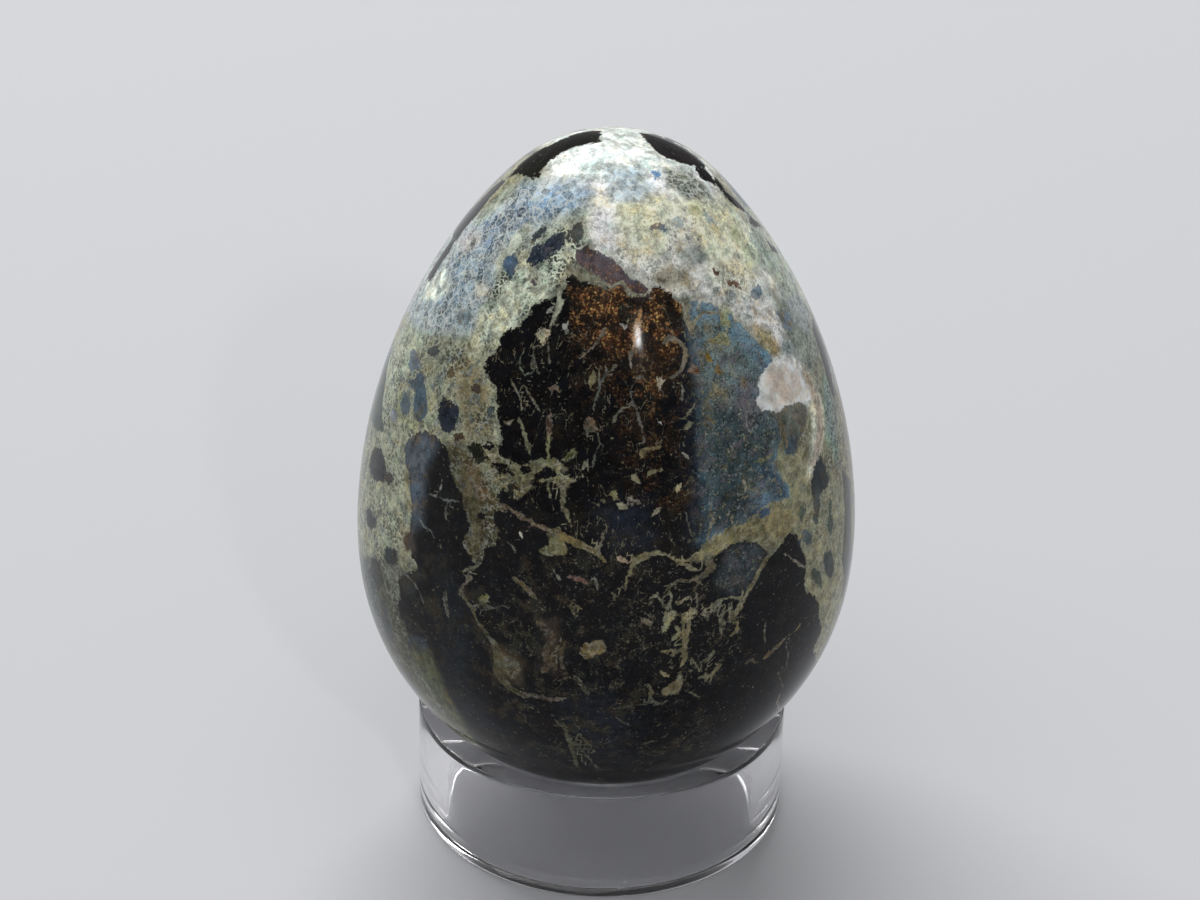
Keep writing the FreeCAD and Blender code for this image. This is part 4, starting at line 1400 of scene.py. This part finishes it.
# Matrix: a net of dark cracks where it is plain, and a frost of pale ones where it is busy
net = stone.ridges(stone.warped(place, 1.1, 5, 1.0), 1.25, 5, 0.62)
net_place = stone.product(stone.ramp(patchy, 0.60, 0.46), stone.less(1.0, field["busy"]), 0.55)
netted = stone.toned(stone.product(stone.ramp(net, 0.034, 0.008), net_place), matrix, NET_TONE)
frost_place = stone.warped(place, 1.4, 4, 0.7)
crystals = stone.cells(frost_place, 1.15)
frosted = stone.toned(stone.ramp(crystals[1], 0.55, 0.95, 0.0, 0.65), matrix, BLUE_TONE)
frosted = stone.shaded(frosted, stone.ramp(crystals[0], 0.0, 1.0, 0.62, 1.25))
matrix = stone.mix(field["busy"], netted, frosted)
wide_cracks = stone.ramp(stone.cell_edges(frost_place, 1.15), 0.075, 0.03)
small_cracks = stone.ramp(stone.cell_edges(frost_place, 2.7), 0.10, 0.04, 0.0, 0.75)
frost = stone.math("MAXIMUM", wide_cracks, small_cracks)
frost_share = stone.product(frost, stone.ramp(patchy, 0.38, 0.52), field["busy"], 0.6)
matrix = stone.mix(frost_share, matrix, CRACK_COLOUR)
snow = stone.noise(stone.vector("ADD", place, (2.2, 6.1, 7.3)), 1.3, 6, 0.7)
matrix = stone.mix(stone.product(stone.ramp(snow, 0.57, 0.61), field["busy"], 0.6), matrix, SNOW_COLOUR)

# Fragments: uneven darkness, brown and blue stains, an olive mottle
fine_depth = stone.ramp(fine, 0.3, 0.7, -0.3, 0.3)
depth_shade = stone.math("ADD", stone.ramp(middle, 0.3, 0.7, 0.45, 1.6), fine_depth)
fragment = stone.shaded(inner_colour, depth_shade)
fragment = stone.toned(stone.ramp(hue, 0.46, 0.38), fragment, BLUE_STAIN)
fragment = stone.toned(stone.ramp(hue, 0.54, 0.62), fragment, BROWN_STAIN)
mottle = stone.product(stone.ramp(blotchy, 0.515, 0.58), stone.ramp(fine, 0.3, 0.7, 0.3, 1.0))
mottle_colour = stone.mix(stone.ramp(hue, 0.45, 0.55), OLIVE_MOTTLE, BROWN_MOTTLE)
fragment = stone.mix(stone.product(mottle, field["mottle"]), fragment, mottle_colour)

# Blue fragments: stains of olive and mauve, pale and dark dust
for colour, share, first, second in (
    (OLIVE_STAIN, 0.8, stone.ramp(patchy, 0.54, 0.62), stone.ramp(blotchy, 0.45, 0.6)),
    (MAUVE_STAIN, 0.55, stone.ramp(cloudy, 0.52, 0.62), 1.0),
    (PALE_DUST, 0.75, stone.ramp(grains[0], 0.72, 1.0), stone.ramp(patchy, 0.42, 0.6)),
    (DARK_DUST, 0.7, stone.ramp(grains[1], 0.4, 0.1), stone.ramp(patchy, 0.40, 0.55)),
):
    fragment = stone.mix(stone.product(first, second, field["sheen"], share), fragment, colour)

# Bronze fragment: golden and copper sparks in clouds
clouds = stone.product(stone.ramp(cloudy, 0.46, 0.56), field["glint"])
fragment = stone.mix(stone.product(clouds, 0.5), fragment, BRONZE)
spark_colour = stone.mix(stone.ramp(grains[2], 0.2, 0.9), COPPER_SPARK, GOLD_SPARK)
spark_share = stone.product(stone.ramp(grains[1], 0.45, 0.85), clouds, 0.8)
fragment = stone.mix(spark_share, fragment, spark_colour)

# Fragments: hairs and loops, and sand
hairs = stone.ridges(
    stone.warped(stone.vector("MULTIPLY", place, HAIR_STRETCH), 0.5, 3, 1.6), 0.95, 2.5, 0.5)
hair_place = stone.product(stone.ramp(patchy, 0.40, 0.56), stone.ramp(blotchy, 0.44, 0.56))
hair_width = stone.product(hair_place, field["scribble"], HAIR_WIDTH)
loops = stone.ridges(stone.warped(place, 0.8, 3, 1.6), 1.0, 3, 0.55)
loop_place = stone.product(stone.ramp(patchy, 0.40, 0.54), stone.ramp(blotchy, 0.42, 0.54))
loop_width = stone.product(loop_place, field["tangle"], LOOP_WIDTH)
scribble = stone.math(
    "MAXIMUM",
    stone.ramp(stone.less(hair_width, hairs), -0.003, 0.005),
    stone.ramp(stone.less(loop_width, loops), -0.003, 0.006),
)
scribble_share = stone.product(scribble, stone.ramp(fine, 0.3, 0.7, 0.35, 1.0))
fragment = stone.mix(scribble_share, fragment, stone.mix(hue, GREY_HAIR, OCHRE_HAIR))
sand = stone.product(stone.ramp(grains[2], 0.9, 1.0), stone.ramp(patchy, 0.5, 0.6), 0.6)
fragment = stone.mix(sand, fragment, SAND)

# Matrix, fragments and veins together
colour = stone.mix(in_clast, matrix, fragment)
vein_colour = stone.shaded(ground_colour, stone.math("MULTIPLY_ADD", unevenness, 0.8, 0.95))
colour = stone.mix(in_vein, colour, stone.mix(VEIN_FILL, vein_colour, matrix))
roughness = stone.ramp(in_clast, 0, 1, GROUND_ROUGHNESS, CLAST_ROUGHNESS)
stone.put(stone_shader, {
    "Base Color": colour,
    "Roughness": stone.math("MULTIPLY_ADD", middle, UNEVEN_ROUGHNESS, roughness),
    "Specular IOR Level": STONE_SPECULAR,
    "Normal": stone.node("Bump", {**STONE_BUMP, "Height": colour}).outputs["Normal"],
})

# Ring stand

low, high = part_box("ring_stand")
RING_RADIUS = high.x / MM
RING_HEIGHT = high.z / MM
RING_WALL = 2.5
SEAT_BEVEL = 0.3
SEAT_TILT = math.radians(42.12)
EDGE = 0.25
CORNER_POINTS = 5
RING_COLUMNS = 256
WALL_SHARES = (0.2, 0.4, 0.6, 0.8)


def rounded(corner, before, after):
    """Points of a small bend that replaces a corner between two points beside it."""
    share = np.linspace(0, 1, CORNER_POINTS)[:, None]
    corner, before, after = (np.array(point, dtype=float) for point in (corner, before, after))
    return ((1 - share) ** 2 * before + 2 * share * (1 - share) * corner + share ** 2 * after).tolist()


bore = RING_RADIUS - RING_WALL
rim = (RING_RADIUS, RING_HEIGHT)
ring_outline = [
    *rounded((bore, 0), (bore, EDGE), (bore + EDGE, 0)),
    *rounded((RING_RADIUS, 0), (RING_RADIUS - EDGE, 0), (RING_RADIUS, EDGE)),
    *((RING_RADIUS, RING_HEIGHT * share) for share in WALL_SHARES),
    *rounded(rim, (RING_RADIUS, RING_HEIGHT - EDGE), (RING_RADIUS - EDGE, RING_HEIGHT)),
    (bore + SEAT_BEVEL, RING_HEIGHT),
    (bore, RING_HEIGHT - SEAT_BEVEL * math.tan(SEAT_TILT)),
    *((bore, RING_HEIGHT * share) for share in reversed(WALL_SHARES)),
]
ring_vertices, ring_faces = [], []
size = len(ring_outline)
for column in range(RING_COLUMNS):
    angle = 2 * math.pi * column / RING_COLUMNS
    here, there = column * size, (column + 1) % RING_COLUMNS * size
    for number, (radius, height) in enumerate(ring_outline):
        following = (number + 1) % size
        ring_vertices.append((radius * math.cos(angle), radius * math.sin(angle), height))
        ring_faces.append((here + number, there + number, there + following, here + following))
ring = mesh_object("ring_stand_clear", ring_vertices, ring_faces)
ring.data.shade_smooth()
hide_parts("ring_stand")
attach(ring, "stand")

# Clear plastic, with a slight haze and waviness

ACRYLIC_COLOUR = (0.97, 0.965, 0.98, 1)
ACRYLIC_IOR = 1.49
CLEAREST, HAZIEST = 0.015, 0.06
WAVES = {"Strength": 0.05, "Distance": 0.1 * MM}

acrylic, acrylic_shader = new_material("clear_acrylic", ring)
ring_place = acrylic.place()
haze = acrylic.ramp(acrylic.noise(ring_place, 0.25, 4), 0.4, 0.7, CLEAREST, HAZIEST)
waves = acrylic.node("Bump", {**WAVES, "Height": acrylic.noise(ring_place, 0.3, 2)})
acrylic.put(acrylic_shader, {
    "Base Color": ACRYLIC_COLOUR,
    "Roughness": haze,
    "Transmission Weight": 1.0,
    "IOR": ACRYLIC_IOR,
    "Normal": waves.outputs["Normal"],
})

# Floor. The lamps don't reach its far end, which is seen as pale as the backdrop and lights nothing.

HALF_FLOOR = 3000.0
FLOOR_GAP = 0.03
FLOOR_COLOUR = screen((190, 191, 194))
FLOOR_ROUGHNESS, FLOOR_SPECULAR = 0.7, 0.2
SKY_COLOUR = (0.97, 0.98, 1.0, 1)
GLOW_START, GLOW_END, FAR_GLOW = 400, 3200, 0.41

corners = [(-1, -1, 0), (1, -1, 0), (1, 1, 0), (-1, 1, 0)]
floor = mesh_object("floor", np.array(corners) * HALF_FLOOR, [(0, 1, 2, 3)])
floor.location.z = -FLOOR_GAP * MM
floor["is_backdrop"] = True
studio, floor_shader = new_material("studio_floor", floor)
from_middle = studio.node("VectorMath", {0: studio.place()}, operation="LENGTH").outputs["Value"]
glow = studio.ramp(from_middle, GLOW_START, GLOW_END, 0.0, FAR_GLOW)
studio.put(floor_shader, {
    "Base Color": FLOOR_COLOUR,
    "Roughness": FLOOR_ROUGHNESS,
    "Specular IOR Level": FLOOR_SPECULAR,
    "Emission Color": SKY_COLOUR,
    "Emission Strength": studio.product(glow, studio.seen_straight()),
})

# World. Its light is soft and even, and what is seen past the floor's edge is paler than that light.

SOFT_STRENGTH, BACKDROP_STRENGTH = 0.22, 0.62

world = bpy.data.worlds.new("studio")
bpy.context.scene.world = world
sky = Graph(world)
soft_light = sky.tree.nodes["Background"]
sky.put(soft_light, {"Color": SKY_COLOUR, "Strength": SOFT_STRENGTH})
backdrop = sky.node("Background", {"Color": SKY_COLOUR, "Strength": BACKDROP_STRENGTH})
either = {0: sky.seen_straight(), 1: soft_light.outputs[0], 2: backdrop.outputs[0]}
sky.put(sky.tree.nodes["World Output"], {"Surface": sky.node("MixShader", either).outputs[0]})

# Lamps: azimuth, elevation, distance, width, height, watts

LAMP_TARGET = np.array((0, 0, 35.0))
LAMPS = {
    "window": (-162, 46, 2000, 2000, 400, 42),
    "overhead": (-40, 76, 2000, 2200, 2200, 15),
    "small lamp": (19, 34, 1200, 50, 70, 1.4),
}

for name, (azimuth, elevation, distance, width, height, watts) in LAMPS.items():
    data = bpy.data.lights.new(name, "AREA")
    data.shape = "RECTANGLE"
    data.size = width * MM
    data.size_y = height * MM
    data.energy = watts
    toward = arm(azimuth, elevation)
    across = unit(np.cross((0, 0, 1), toward))
    place = LAMP_TARGET + toward * distance
    set_up(bpy.data.objects.new(name, data), across, np.cross(toward, across), toward, place)

bpy.context.scene.view_settings.view_transform = "Standard"

sizes = [[list(corner) for corner in box] for box in (cad_bounds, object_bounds())]
